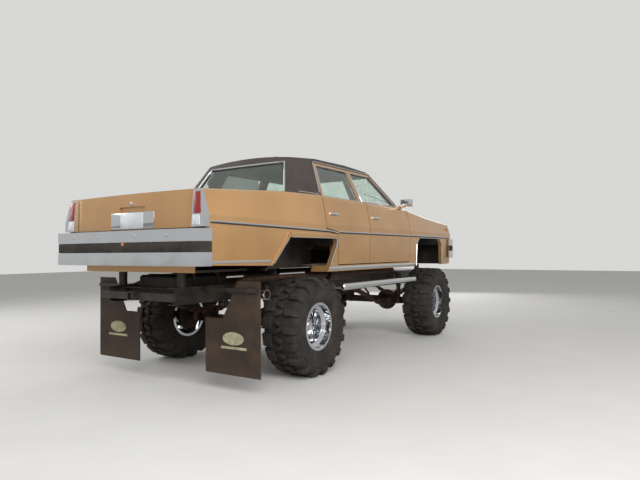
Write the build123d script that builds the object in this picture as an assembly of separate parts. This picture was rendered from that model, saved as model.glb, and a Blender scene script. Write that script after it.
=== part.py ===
from build123d import *
from math import cos, radians, sin, sqrt, tan
import os

# A full-size four-door sedan of the late 1970s carried on a lifted four-wheel-drive ladder chassis.
# Millimetres, +Z up, the ground at Z = 0, the nose towards -Y and the car's left side at +X.
# The origin is on the ground, midway between the two bumpers.

# Overall sizes of the car
LENGTH = 5620.0
LIFT = 760.0                 # how far the body stands above its factory ride height
WHEELBASE = 3086.0
REAR_OVERHANG = 1520.0
GAP = 10.0                   # shut line around doors and lids
COWL_GAP = 16.0              # behind the hood, whose rear edge dips as it opens
SEAT = 0.3                   # clearance of a piece that rests against its neighbour

Y_TAIL = LENGTH / 2
Y_NOSE = -LENGTH / 2
Y_REAR = Y_TAIL - REAR_OVERHANG
Y_FRONT = Y_REAR - WHEELBASE
Y_CABIN = Y_FRONT + 1796.0   # datum of the cabin, its doors and its seats

# Wheels
TYRE_R = 482.5
TYRE_W = 400.0
TYRE_OUT_X = 1100.0          # outer face of the tyre
RIM_R = 214.0                # bead seat radius
RIM_LIP_R = 232.0
RIM_W = 318.0
WHEEL_X = TYRE_OUT_X - TYRE_W / 2
HUB_FACE_X = 830.0           # wheel mounting face
SPINDLE_R = 30.0
RUN = 0.3                    # running clearance of shafts and pins
AXLE_Z = TYRE_R

# Heights of the body, factory height plus the lift
SILL_Z = 240.0 + LIFT
BELT_Z = 1022.0 + LIFT
SILL_TOP_Z = SILL_Z + 62.0

# Stations along the body
Y_GRILLE = Y_NOSE + 110.0    # front ends of the wings
Y_COWL = Y_FRONT + 716.0     # rear ends of the wings
Y_POST = Y_CABIN + 62.0      # rear edge of the front doors
Y_DOOR_END = Y_CABIN + 1000.0
Y_DECK = Y_DOOR_END + 640.0  # front edge of the boot lid
Y_QUARTER_END = Y_TAIL - 115.0

WING_WALL = 50.0
FRAME_WALL = 38.0            # door window frames
ROOF_WALL = 50.0
LID_WALL = 42.0
HOOD_HALF = 745.0
LID_HALF = 785.0

FAR = 1500.0                 # beyond the body on every side, for cutting prisms

nodes = {}


def block(x0, x1, y0, y1, z0, z1):
    return Pos((x0 + x1) / 2, (y0 + y1) / 2, (z0 + z1) / 2) * Box(
        abs(x1 - x0), abs(y1 - y0), abs(z1 - z0)
    )


def rod(p, q, r, r2=None):
    """A round bar from p to q, tapering to r2 if that is given."""
    p, q = Vector(*p), Vector(*q)
    plane = Plane(origin=p, z_dir=q - p)
    if r2 is None:
        return Solid.make_cylinder(r, (q - p).length, plane)
    return Solid.make_cone(r, r2, (q - p).length, plane)


def mirrored(shape):
    return mirror(shape, about=Plane.YZ)


def both(shape):
    return [shape, mirrored(shape)]


def fuse(parts):
    out = parts[0]
    for p in parts[1:]:
        out = out + p
    return out


def side_prism(points, x0, x1):
    """A prism whose outline is given as (y, z) points and which runs from x0 to x1."""
    wire = Wire.make_polygon([Vector(x0, y, z) for y, z in points], close=True)
    return Solid.extrude(Face(wire), Vector(x1 - x0, 0, 0))


def front_prism(points, y0, y1):
    """A prism whose outline is given as (x, z) points and which runs from y0 to y1."""
    wire = Wire.make_polygon([Vector(x, y0, z) for x, z in points], close=True)
    return Solid.extrude(Face(wire), Vector(0, y1 - y0, 0))


def plan_prism(points, z0, z1):
    """A prism whose outline is given as (x, y) points and which runs from z0 to z1."""
    wire = Wire.make_polygon([Vector(x, y, z0) for x, y in points], close=True)
    return Solid.extrude(Face(wire), Vector(0, 0, z1 - z0))


# Sections of the lower body: y, half-widths at sill, crease and shoulder, then the heights of sill,
# crease, shoulder and the crown on the centre line, at factory height.
BODY_SECTIONS = [
    (Y_GRILLE, 905, 930, 880, 250, 705, 868, 882),
    (Y_FRONT, 940, 962, 905, 240, 715, 925, 955),
    (Y_COWL, 950, 970, 915, 240, 722, 1003, 1030),
    (Y_DOOR_END, 950, 970, 912, 240, 728, 1036, 1050),
    (Y_DECK, 948, 967, 900, 320, 732, 1020, 1032),
    (Y_QUARTER_END, 915, 935, 868, 345, 742, 952, 960),
]
SHOULDER_R = 42.0


def body_section(row, side=0.0, top=0.0, drop=0.0):
    """One closed section of the lower body, its sides moved in, its top down and its floor down."""
    y, w_sill, w_mid, w_sh, z_sill, z_mid, z_sh, z_top = row
    w_sill, w_mid, w_sh = w_sill - side, w_mid - side, w_sh - side
    z_sill, z_mid = z_sill + LIFT - drop, z_mid + LIFT
    z_sh, z_top = z_sh + LIFT - top, z_top + LIFT - top
    right = [Vector(w_sill, y, z_sill), Vector(w_mid, y, z_mid), Vector(w_sh, y, z_sh)]
    left = [Vector(-v.X, v.Y, v.Z) for v in reversed(right)]
    crown = Edge.make_three_point_arc(right[2], Vector(0, y, z_top), left[0])
    sides = [Edge.make_line(a, b) for pair in (right, left) for a, b in zip(pair, pair[1:])]
    base = Edge.make_line(left[2], right[0])
    wire = Wire([*sides[:2], crown, *sides[2:], base])
    corners = [v for v in wire.vertices() if abs(v.Z - z_sh) < 0.01]
    return wire.fillet_2d(SHOULDER_R, corners)


def body_form(side=0.0, top=0.0, drop=0.0):
    """The lower body as one solid through its sections."""
    return Solid.make_loft([body_section(r, side, top, drop) for r in BODY_SECTIONS], ruled=True)


# Outlines of the cabin seen from above: height, front and rear y on the centre line, how far the
# front and rear bow out, and the half-width.
CABIN_SECTIONS = [
    (985.0 + LIFT, Y_COWL - 45.0, Y_CABIN + 1385.0, 75.0, 40.0, 862.0),
    (1405.0 + LIFT, Y_COWL + 440.0, Y_CABIN + 1140.0, 55.0, 20.0, 655.0),
]
CABIN_TOP_GROW = 1.35        # the cabin's cone is carried this far past the roof, to be cut by the crown
CABIN_CORNER_R = 70.0


def cabin_section(row, inset):
    z, y0, y1, bow0, bow1, half = row
    y0, y1, half = y0 + inset, y1 - inset, half - inset
    a = [Vector(-half, y0 + bow0, z), Vector(half, y0 + bow0, z)]
    b = [Vector(half, y1 - bow1, z), Vector(-half, y1 - bow1, z)]
    wire = Wire([
        Edge.make_three_point_arc(a[0], Vector(0, y0, z), a[1]),
        Edge.make_line(a[1], b[0]),
        Edge.make_three_point_arc(b[0], Vector(0, y1, z), b[1]),
        Edge.make_line(b[1], a[0]),
    ])
    return wire.fillet_2d(CABIN_CORNER_R - min(inset, 40.0), wire.vertices())


def between(a, b, t):
    return tuple(p + (q - p) * t for p, q in zip(a, b))


# Crown of the roof: y, height at the rails, height on the centre line.
ROOF_SECTIONS = [
    (Y_COWL + 325.0, 1385.0, 1430.0),
    (Y_COWL + 555.0, 1432.0, 1508.0),
    (Y_CABIN + 50.0, 1450.0, 1540.0),
    (Y_CABIN + 700.0, 1446.0, 1528.0),
    (Y_CABIN + 1200.0, 1405.0, 1476.0),
]
ROOF_HALF = 900.0


def roof_cap(inset):
    """A thick slab with the roof's crown on top, wider than the cabin."""
    wires = []
    for y, rail, crown in ROOF_SECTIONS:
        z = LIFT - inset
        a, b = Vector(-ROOF_HALF, y, rail + z - 20), Vector(ROOF_HALF, y, rail + z - 20)
        c, d = Vector(ROOF_HALF, y, BELT_Z - 300), Vector(-ROOF_HALF, y, BELT_Z - 300)
        wires.append(Wire([
            Edge.make_three_point_arc(a, Vector(0, y, crown + z), b),
            Edge.make_line(b, c), Edge.make_line(c, d), Edge.make_line(d, a),
        ]))
    first, last = ROOF_SECTIONS[0], ROOF_SECTIONS[-1]
    slab = Solid.make_loft(wires, ruled=True)
    ends = [
        block(-ROOF_HALF, ROOF_HALF, first[0] - 700, first[0], BELT_Z - 300, first[2] + LIFT - inset),
        block(-ROOF_HALF, ROOF_HALF, last[0], last[0] + 400, BELT_Z - 300, last[2] + LIFT - inset),
    ]
    return slab + ends[0] + ends[1]


def cabin_form(inset=0.0, cap_inset=0.0):
    """The cabin above the belt, its sides moved in by one distance and its roof down by another."""
    low, high = CABIN_SECTIONS
    rows = [between(low, high, -0.08), between(low, high, CABIN_TOP_GROW)]
    cone = Solid.make_loft([cabin_section(r, inset) for r in rows], ruled=True)
    return cone & roof_cap(cap_inset)


BODY = body_form()
CABIN = cabin_form()

# Doors. Each hangs on a vertical pin, PIN_BACK behind its front edge and PIN_X from the centre line.
DOOR_IN_X = 840.0            # inner face of the lower door
DOOR_SKIN = 30.0             # the outer skin overlaps the door's box by HEM at its rear edge
FRAME_SKIN = 10.0
HEM = 18.0
PIN_X = 940.0
PIN_BACK = 100.0
PIN_R = 6.0
HINGE_Z = (500.0 + LIFT, 700.0 + LIFT)
HINGE_HALF = 20.0            # half the height of a hinge arm
POCKET_HALF = 27.0
KNUCKLE_R = 10.0
POST_OUT_X = 790.0
POST_IN_X = 735.0
DOOR_TOP_Z = 1425.0 + LIFT
FRAME_RAIL = 34.0            # width of a window frame member
WINDOW_LOW_Z = BELT_Z + 22.0
Y_FRONT_DOOR = Y_COWL + GAP
DOOR_LOW_Z = SILL_TOP_Z + GAP
ARCH_TOP = 590.0 + LIFT      # top of the rear wheel openings
FRONT_ARCH_TOP = 635.0 + LIFT
BELT_CLEAR_Z = BELT_Z + 28.0

# Outlines of the door openings as (y, z), without the shut line's gap
FRONT_DOOR_LOW = [
    (Y_FRONT_DOOR, DOOR_LOW_Z), (Y_POST - GAP, DOOR_LOW_Z), (Y_POST - GAP, BELT_Z + 60),
    (Y_FRONT_DOOR, BELT_Z + 60)
]
FRONT_DOOR_HIGH = [
    (Y_COWL + 122, BELT_Z - 25), (Y_POST - GAP, BELT_Z - 25), (Y_POST - GAP, DOOR_TOP_Z),
    (Y_COWL + 590, DOOR_TOP_Z), (Y_COWL + 140, BELT_Z + 5)
]
REAR_DOOR_LOW = [
    (Y_POST, DOOR_LOW_Z), (Y_REAR - 540, DOOR_LOW_Z), (Y_REAR - 520, ARCH_TOP + 70),
    (Y_DOOR_END, ARCH_TOP + 100),
    (Y_DOOR_END, BELT_Z + 60), (Y_POST, BELT_Z + 60)
]
REAR_DOOR_HIGH = [
    (Y_POST, BELT_Z - 25), (Y_CABIN + 909, BELT_Z - 25), (Y_CABIN + 770, DOOR_TOP_Z), (Y_POST, DOOR_TOP_Z)
]


def moved_edges(points, distance, only=None):
    """A (y, z) outline with its edges moved inwards, or outwards if distance is negative."""
    area = sum(a[0] * b[1] - b[0] * a[1] for a, b in zip(points, points[1:] + points[:1]))
    turn = 1.0 if area > 0 else -1.0
    lines = []
    for k, (a, b) in enumerate(zip(points, points[1:] + points[:1])):
        run = sqrt((b[0] - a[0]) ** 2 + (b[1] - a[1]) ** 2)
        n = (-(b[1] - a[1]) / run * turn, (b[0] - a[0]) / run * turn)
        d = distance if only is None or k in only else 0.0
        lines.append((a[0] + n[0] * d, a[1] + n[1] * d, b[0] - a[0], b[1] - a[1]))
    out = []
    for p, q in zip(lines[-1:] + lines[:-1], lines):
        det = p[2] * q[3] - p[3] * q[2]
        t = ((q[0] - p[0]) * q[3] - (q[1] - p[1]) * q[2]) / det
        out.append((p[0] + p[2] * t, p[1] + p[3] * t))
    return out


SKIN_CORE = body_form(side=DOOR_SKIN, top=-50, drop=200)
FRAME_CORE = cabin_form(FRAME_SKIN)
FRAME_INNER = cabin_form(FRAME_WALL)


def window_hole(high, rail, z_low):
    """The prism through a door's window, inside its frame and above its sill."""
    return side_prism(moved_edges(high, rail), 560, 1000) & block(500, 1100, -FAR, FAR, z_low, 2600)


def door(low, high, rear_low, rear_high, y_pin):
    """A left door: a hollow-looking lower panel, a thin window frame and two hinge pockets with pins."""
    side = BODY & side_prism(low, DOOR_IN_X, 1000)
    side = side - (SKIN_CORE & (side_prism(low, DOOR_IN_X - 5, 1000) - side_prism(
        moved_edges(low, HEM, rear_low), DOOR_IN_X - 5, 1000)))
    hole = window_hole(high, FRAME_RAIL, WINDOW_LOW_Z)
    ring = side_prism(high, 560, 1000) - hole
    trimmed = moved_edges(high, HEM, rear_high)
    frame = ((CABIN - FRAME_CORE) & ring) + ((FRAME_CORE - FRAME_INNER) & ring & side_prism(trimmed, 560, 1000))
    out = side + frame
    for z in HINGE_Z:
        out = out - block(DOOR_IN_X - 60, PIN_X + 13, y_pin - PIN_BACK - 30, y_pin + 19, z - POCKET_HALF, z + POCKET_HALF)
        out = out + rod((PIN_X, y_pin, z - POCKET_HALF), (PIN_X, y_pin, z + POCKET_HALF), PIN_R)
    return out


def hinge_arm(y_pin, z):
    """A hinge leaf that stands on a body post and ends in the eye around the door's pin."""
    arm = block(POST_OUT_X, PIN_X, y_pin - 8, y_pin + 8, z - HINGE_HALF, z + HINGE_HALF)
    eye = rod((PIN_X, y_pin, z - HINGE_HALF), (PIN_X, y_pin, z + HINGE_HALF), KNUCKLE_R)
    bore = rod((PIN_X, y_pin, z - HINGE_HALF - 1), (PIN_X, y_pin, z + HINGE_HALF + 1), PIN_R + RUN)
    return arm + eye - bore


Y_PIN_FRONT = Y_FRONT_DOOR + PIN_BACK
Y_PIN_REAR = Y_POST + PIN_BACK
GLASS_OUT = 13.0
GLASS_IN = 19.0
GLASS = cabin_form(GLASS_OUT) - cabin_form(GLASS_IN)


def door_glass(high):
    return GLASS & window_hole(high, FRAME_RAIL + SEAT, WINDOW_LOW_Z + SEAT)


def make_doors():
    rows = [
        ("front", FRONT_DOOR_LOW, FRONT_DOOR_HIGH, (1,), (1,), Y_PIN_FRONT),
        ("rear", REAR_DOOR_LOW, REAR_DOOR_HIGH, (1, 2, 3), (1,), Y_PIN_REAR),
    ]
    for name, low, high, rear_low, rear_high, y_pin in rows:
        left = door(low, high, rear_low, rear_high, y_pin)
        if name == "front":
            left = left + mirror_head()
        left = left + door_handle(low[1][0] if name == "front" else Y_DOOR_END)
        pane = door_glass(high)
        nodes[f"door_{name}_left"] = left
        nodes[f"door_{name}_right"] = mirrored(left)
        nodes[f"glass_{name}_left"] = pane
        nodes[f"glass_{name}_right"] = mirrored(pane)


HANDLE_Z = 846.0 + LIFT


def mirror_head():
    """The rear-view mirror on its foot at the front of the door's top."""
    y = Y_COWL + 150
    foot = block(868, 905, y - 30, y + 30, BELT_Z - 15, BELT_Z + 25)
    arm = block(885, 960, y - 15, y + 15, BELT_Z + 5, BELT_Z + 25)
    head = Pos(985, y, BELT_Z + 60) * Box(150, 50, 95)
    head = fillet(head.edges().filter_by(Axis.Y), 14)
    return foot + arm + head


def door_handle(y_end):
    """A pull handle near the door's rear edge, just below the belt."""
    return block(930, 962, y_end - 250, y_end - 100, HANDLE_Z - 11, HANDLE_Z + 11)


# Body shell
CAGE = BODY - body_form(side=WING_WALL, top=WING_WALL, drop=300)
BOX_Z0 = 900.0
TOP_Z = 2600.0               # above the whole car, for cutting blocks

# Outlines of the wheel openings as (y, z); the two corners at the top are rounded
REAR_ARCH = [
    (Y_REAR - 290, SILL_Z - 60), (Y_REAR - 498, ARCH_TOP - 60), (Y_REAR - 480, ARCH_TOP),
    (Y_REAR + 330, ARCH_TOP), (Y_REAR + 375, ARCH_TOP - 40), (Y_REAR + 700, SILL_Z - 60)
]
FRONT_ARCH = [
    (Y_FRONT - 529, SILL_Z - 60), (Y_FRONT - 494, FRONT_ARCH_TOP - 75), (Y_FRONT - 404, FRONT_ARCH_TOP),
    (Y_FRONT + 396, FRONT_ARCH_TOP), (Y_FRONT + 481, FRONT_ARCH_TOP - 75), (Y_FRONT + 526, SILL_Z - 60)
]
ARCH_R = 55.0


def arch_cut(points):
    cut = side_prism(points, -FAR, FAR)
    top = max(z for y, z in points)
    corners = [e for e in cut.edges().filter_by(Axis.X) if abs(e.center().Z - top) < 1]
    return fillet(corners, ARCH_R)


def make_wings():
    wing = CAGE & block(HOOD_HALF, FAR, Y_GRILLE, Y_COWL, BOX_Z0, TOP_Z)
    wing = wing - arch_cut(FRONT_ARCH)
    for y, z in HOOD_PIN:
        wing = wing - rod((HOOD_HALF - 1, y, z), (HOOD_HALF + PIN_LEN, y, z), PIN_R + RUN)
    nodes["wings"] = Compound(children=both(wing))


LID_GAP = 6.0
PIN_LEN = 26.0
Y_HOOD_END = Y_COWL - 90.0
Y_HOOD_NOSE = Y_GRILLE + 60.0
PIN_DROP = 17.0


def skin_z(y, x):
    """Height of the body's top surface at a station."""
    probe = BODY & block(x - 1, x + 1, y - 1, y + 1, BELT_Z - 300, 2000)
    return probe.bounding_box().max.Z


Y_HOOD_PIN = Y_HOOD_END - 150.0
Y_LID_PIN = Y_DECK + GAP + 100.0
HOOD_PIN = [(Y_HOOD_PIN, skin_z(Y_HOOD_PIN, HOOD_HALF) - PIN_DROP)]
LID_PIN = [(Y_LID_PIN, skin_z(Y_LID_PIN, LID_HALF) - PIN_DROP)]
Y_LID_END = Y_QUARTER_END - 50.0
LID_LOW_Z = 650.0 + LIFT
PLATE = (-172.0, 172.0, 700.0 + LIFT, 850.0 + LIFT)


def make_lids():
    lid_cage = BODY - body_form(side=WING_WALL, top=LID_WALL, drop=300)
    half = HOOD_HALF - LID_GAP
    hood = lid_cage & block(-half, half, Y_HOOD_NOSE, Y_HOOD_END, BOX_Z0, TOP_Z)
    y, z = HOOD_PIN[0]
    for side in (-1, 1):
        hood = hood + rod((side * (half - 30), y, z), (side * (HOOD_HALF + PIN_LEN - 2), y, z), PIN_R)
    nodes["hood"] = hood
    half = LID_HALF - LID_GAP
    lid = lid_cage & block(-half, half, Y_DECK + GAP, Y_LID_END, BOX_Z0, TOP_Z)
    lid = lid + (BODY & block(-half, half, Y_LID_END - LID_WALL, Y_LID_END, LID_LOW_Z, 2000))
    lid = lid - block(PLATE[0], PLATE[1], Y_LID_END - 18, Y_LID_END + 1, PLATE[2], PLATE[3])
    y, z = LID_PIN[0]
    for side in (-1, 1):
        lid = lid + rod((side * (half - 30), y, z), (side * (LID_HALF + PIN_LEN - 2), y, z), PIN_R)
    nodes["trunk_lid"] = lid


def make_quarters():
    """Rear quarter panels with the strip over the rear arch, and the shelf under the backlight."""
    side = CAGE & block(LID_HALF, FAR, Y_REAR - 590, Y_LID_END, BOX_Z0, TOP_Z)
    side = side - arch_cut(REAR_ARCH)
    low = moved_edges(REAR_DOOR_LOW, -GAP)
    side = side - side_prism(low, 600, FAR)
    side = side - block(600, FAR, Y_REAR - 690, Y_REAR - 190, BOX_Z0, SILL_TOP_Z)
    for y, z in LID_PIN:
        side = side - rod((LID_HALF - 1, y, z), (LID_HALF + PIN_LEN, y, z), PIN_R + RUN)
    nodes["quarters"] = Compound(children=both(side))
    shelf = CAGE & block(-LID_HALF, LID_HALF, Y_CABIN + 1200, Y_DECK, BOX_Z0, TOP_Z)
    nodes["rear_shelf"] = shelf


def make_side_frames():
    """Rocker, front door post and lower centre post, with the door hinges' fixed leaves."""
    rocker = BODY & block(POST_IN_X, FAR, Y_COWL, Y_REAR - 200, BOX_Z0, SILL_TOP_Z)
    rocker = rocker - arch_cut(REAR_ARCH)
    a_post = BODY & block(POST_IN_X, POST_OUT_X, Y_COWL + 1, Y_A_POST, SILL_TOP_Z, BELT_Z + 40)
    b_post = block(POST_IN_X, POST_OUT_X, Y_B_POST, Y_B_POST + 165, SILL_TOP_Z, POST_TOP_Z)
    left = rocker + a_post + b_post
    for y in (Y_PIN_FRONT, Y_PIN_REAR):
        for z in HINGE_Z:
            left = left + hinge_arm(y, z)
    nodes["side_frames"] = Compound(children=both(left))


POST_TOP_Z = BELT_Z - 55.0
Y_A_POST = Y_COWL + 128.0    # rear face of the front post
Y_B_POST = Y_POST - 42.0     # front face of the centre post
POST_HIGH_X = 595.0          # the centre post's outer face at its top
POST_T = 48.0
WINDSHIELD = [(-735, 1044 + LIFT), (735, 1044 + LIFT), (570, 1408 + LIFT), (-570, 1408 + LIFT)]
BACKLIGHT = [(-660, 1062 + LIFT), (660, 1062 + LIFT), (520, 1395 + LIFT), (-520, 1395 + LIFT)]


FRONT_PANE_Y = (Y_COWL - 210.0, Y_CABIN - 100.0)
REAR_PANE_Y = (Y_CABIN + 1000.0, Y_DECK)


def make_roof():
    """Roof with windscreen pillars, rear pillars and the upper centre posts behind the door frames."""
    shell = CABIN - cabin_form(ROOF_WALL, ROOF_WALL) - BODY
    for outline in (FRONT_DOOR_HIGH, REAR_DOOR_HIGH):
        for side in (1, -1):
            shell = shell - side_prism(moved_edges(outline, -GAP), 560 * side, FAR * side)
    shell = shell - front_prism(WINDSHIELD, *FRONT_PANE_Y) - front_prism(BACKLIGHT, *REAR_PANE_Y)
    for side in (1, -1):
        shell = shell - block(802 * side, FAR * side, Y_COWL - 5, Y_DOOR_END + GAP, BELT_Z - 100, BELT_CLEAR_Z)
    post = front_prism([
        (POST_OUT_X, POST_TOP_Z), (POST_OUT_X, BELT_Z - 22), (POST_HIGH_X, DOOR_TOP_Z + 10),
        (POST_HIGH_X - POST_T, DOOR_TOP_Z + 10),
        (POST_IN_X, BELT_Z - 22), (POST_IN_X, POST_TOP_Z)
    ], Y_B_POST, Y_B_POST + 72)
    for side in (1, -1):
        shell = shell + (post if side == 1 else mirrored(post))
    nodes["roof"] = shell


def make_fixed_glass():
    front = GLASS & front_prism(moved_edges(WINDSHIELD, SEAT), *FRONT_PANE_Y)
    rear = GLASS & front_prism(moved_edges(BACKLIGHT, SEAT), *REAR_PANE_Y)
    nodes["fixed_glass"] = Compound(children=[front, rear])


def make_cowl():
    """Scuttle panel and the bulkhead below it."""
    y0 = Y_HOOD_END + COWL_GAP
    half = POST_IN_X
    front = CAGE & block(-HOOD_HALF, HOOD_HALF, y0, Y_COWL, BOX_Z0, TOP_Z)
    rear = CAGE & block(-half, half, Y_COWL - 1, Y_COWL + 85, BOX_Z0, TOP_Z)
    wall = BODY & block(-half, half, y0, y0 + 20, FLOOR_Z + FLOOR_T, 2000)
    nodes["cowl"] = front + rear + wall


FLOOR_Z = 1040.0
FLOOR_T = 20.0
Y_TAIL_WALL = Y_LID_END - 60.0
BOOT_HALF = POST_IN_X - 20.0
TUB_X = 560.0                # inner faces of the rear and front wheel houses
FRONT_TUB_X = 480.0
TUB_T = 14.0
TUB_GAP = 12.0               # the wheel house stands outside its wheel opening


def make_floor():
    z0, z1 = FLOOR_Z, FLOOR_Z + FLOOR_T
    floor = block(-POST_IN_X, POST_IN_X, Y_HOOD_END + COWL_GAP, Y_REAR - 140, z0, z1)
    floor = floor + block(-BOOT_HALF, BOOT_HALF, Y_REAR - 140, Y_TAIL_WALL, z0, z1)
    for side in (1, -1):
        floor = floor - block(TUB_X * side, FAR * side, Y_REAR - 510, Y_REAR + 660, z0 - 1, z1 + 1)
    nodes["floor_pan"] = floor


def make_tail_panel():
    """The cross panel under the boot lid, behind the bumper."""
    panel = BODY & block(-FAR, FAR, Y_TAIL_WALL, Y_LID_END, SILL_Z, LID_LOW_Z - GAP)
    for s in (1, -1):
        panel = panel - (CAGE & block(LID_HALF * s, FAR * s, Y_DECK, Y_TAIL, BOX_Z0, TOP_Z))
    skirt = block(-BOOT_HALF, BOOT_HALF, Y_TAIL_WALL, Y_TAIL_WALL + FLOOR_T, FLOOR_Z, BUMPER_Z[0] + 20)
    nodes["tail_panel"] = panel + skirt


def tub(points, x_in):
    """Inner wheel house that seats against the inside of the wing or quarter."""
    outer = side_prism(points, x_in, FAR)
    inner = side_prism(moved_edges(points, TUB_T, range(1, len(points) - 1)), x_in + TUB_T, FAR + 10)
    inside = body_form(side=WING_WALL, top=WING_WALL, drop=300)
    return (outer - inner) & inside & block(0, FAR, Y_NOSE, Y_TAIL, FLOOR_Z, TOP_Z)


def make_tubs():
    houses = []
    for arch, x_in in ((REAR_ARCH, TUB_X), (FRONT_ARCH, FRONT_TUB_X)):
        top = max(z for y, z in arch)
        middle = (arch[2][0] + arch[3][0]) / 2
        grown = [
            (y + (TUB_GAP if y > middle else -TUB_GAP), z + (TUB_GAP if z == top else 0)) for y, z in arch
        ]
        houses += both(tub(grown, x_in))
    nodes["wheel_houses"] = Compound(children=houses)


# Nose, tail lamps and bumpers
GRILLE_HALF = 330.0
GRILLE_Z = (560.0 + LIFT, 850.0 + LIFT)
LAMP_X = (405.0, 822.0)
LAMP_Z = (640.0 + LIFT, 810.0 + LIFT)
NOSE_T = 50.0


def make_nose():
    """Nose panel between the wings, with openings for the grille and the headlamps."""
    nose = BODY & block(-FAR, FAR, Y_GRILLE, Y_GRILLE + NOSE_T, 480 + LIFT, 2000)
    side = CAGE & block(HOOD_HALF, FAR, Y_GRILLE - 10, Y_COWL, BOX_Z0, TOP_Z)
    nose = nose - side - mirrored(side)
    nose = nose - block(-GRILLE_HALF, GRILLE_HALF, Y_GRILLE - 1, Y_GRILLE + NOSE_T + 1, *GRILLE_Z)
    for s in (1, -1):
        nose = nose - block(LAMP_X[0] * s, LAMP_X[1] * s, Y_GRILLE - 1, Y_GRILLE + NOSE_T + 1, *LAMP_Z)
    nodes["nose_panel"] = nose


def make_grille():
    """Chrome surround with upright bars, standing a little proud of the nose."""
    z0, z1 = GRILLE_Z
    y0, y1 = Y_GRILLE - 40, Y_GRILLE + NOSE_T - 10
    frame = block(-GRILLE_HALF + SEAT, GRILLE_HALF - SEAT, y0, y1, z0 + SEAT, z1 - SEAT)
    frame = frame - block(-GRILLE_HALF + 24, GRILLE_HALF - 24, y0 - 1, y1 + 1, z0 + 24, z1 - 30)
    bars = []
    count = 19
    pitch = (2 * GRILLE_HALF - 48) / (count + 1)
    for k in range(count):
        x = -GRILLE_HALF + 24 + pitch * (k + 1)
        bars.append(block(x - 4, x + 4, y0 + 12, y1 - 10, z0 + 20, z1 - 26))
    bars.append(block(-GRILLE_HALF + 20, GRILLE_HALF - 20, y1 - 14, y1 - 2, z0 + 20, z1 - 20))
    nodes["grille"] = frame + bars


def make_headlamps():
    """Two rectangular lamps on each side in one bright bezel."""
    x0, x1 = LAMP_X
    z0, z1 = LAMP_Z
    y0, y1 = Y_GRILLE - 12, Y_GRILLE + NOSE_T
    bezel = block(x0 + SEAT, x1 - SEAT, y0, y1, z0 + SEAT, z1 - SEAT)
    half = (x1 - x0) / 2
    for k in range(2):
        a = x0 + 18 + k * (half - 6)
        bezel = bezel - block(a, a + half - 30, y0 - 1, y0 + 16, z0 + 16, z1 - 16)
    nodes["headlamps"] = Compound(children=both(bezel))


def make_tail_lamps():
    """Upright lamp pods that close the ends of the rear wings."""
    pod = BODY & block(LID_HALF, FAR, Y_LID_END, Y_QUARTER_END, LID_LOW_Z, 2000)
    lean = side_prism([
        (Y_QUARTER_END - 24, TOP_Z), (Y_QUARTER_END - 24, BELT_Z - 57), (Y_QUARTER_END + 1, LID_LOW_Z - 10),
        (Y_QUARTER_END + 50, LID_LOW_Z - 10), (Y_QUARTER_END + 50, TOP_Z)
    ], 0, FAR)
    nodes["tail_lamps"] = Compound(children=both(pod - lean))


BUMPER_Z = (340.0 + LIFT, 634.0 + LIFT)
BUMPER_HALF = 962.0
BUMPER_T = 24.0


def bumper_bar(y_wrap, y_in, y_out):
    """A deep bumper whose ends wrap round the corners, with a groove along its middle."""
    s = 1.0 if y_out > 0 else -1.0
    outer = [
        (BUMPER_HALF, y_wrap), (BUMPER_HALF, y_out - 75 * s), (BUMPER_HALF - 70, y_out - 22 * s), (430, y_out)
    ]
    inner = [(BUMPER_HALF - BUMPER_T, y_wrap), (BUMPER_HALF - BUMPER_T, y_in)]
    ring = outer + [(-x, y) for x, y in reversed(outer)]
    ring += [(-x, y) for x, y in inner] + [(x, y) for x, y in reversed(inner)]
    z0, z1 = BUMPER_Z
    bar = plan_prism(ring, z0, z1)
    groove = [(x, y - 14 * s) for x, y in outer] + [(-x, y - 14 * s) for x, y in reversed(outer)]
    far = [(-FAR, y_out + 200 * s), (FAR, y_out + 200 * s)]
    shallow = plan_prism(
        [(FAR, groove[0][1])] + [(x - 14, y) for x, y in groove[:3]] + [groove[3]]
        + [groove[4]] + [(x + 14, y) for x, y in groove[5:]] + [(-FAR, groove[0][1])] + far,
        z0 + 105, z1 - 95)
    return bar - shallow


def make_bumpers():
    rear = bumper_bar(Y_TAIL - 170, Y_QUARTER_END + 8, Y_TAIL)
    front = bumper_bar(Y_NOSE + 240, Y_GRILLE - 42, Y_NOSE)
    z0 = 400 + LIFT
    arms = []
    for s in (1, -1):
        arms.append(block(400 * s, 480 * s, Y_LID_END, Y_QUARTER_END + 9, z0, z0 + 120))
        arms.append(block(400 * s, 480 * s, Y_GRILLE - 43, Y_SUPPORT, z0 - 20, z0 + 60))
    rear = rear + arms[0] + arms[2]
    front = front + arms[1] + arms[3]
    nodes["bumpers"] = Compound(children=[rear, front])


Y_SUPPORT = Y_GRILLE + 90.0


def make_front_support():
    """Radiator frame behind the nose, which carries the wings and the front bumper."""
    inside = body_form(side=WING_WALL, top=WING_WALL, drop=0)
    frame = inside & block(-FAR, FAR, Y_SUPPORT, Y_SUPPORT + 40, SILL_Z, 2000)
    frame = frame - block(-330, 330, Y_SUPPORT - 1, Y_SUPPORT + 41, 480 + LIFT, 790 + LIFT)
    ties = []
    for s in (1, -1):
        ties.append(block(345 * s, 395 * s, Y_GRILLE + NOSE_T, Y_SUPPORT, 540 + LIFT, 600 + LIFT))
    nodes["front_support"] = frame + ties


# Ladder frame
RAIL_X = (360.0, 440.0)
RAIL_Z = (760.0, 910.0)
RAIL_Y = (Y_NOSE + 170.0, Y_TAIL - 250.0)
RAIL_WALL = 8.0


def make_frame():
    x0, x1 = RAIL_X
    z0, z1 = RAIL_Z
    rail = block(x0, x1, *RAIL_Y, z0, z1)
    rail = rail - block(x0 - 1, x1 - RAIL_WALL, RAIL_Y[0] - 1, RAIL_Y[1] + 1, z0 + RAIL_WALL, z1 - RAIL_WALL)
    nodes["frame_rails"] = Compound(children=both(rail))


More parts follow.
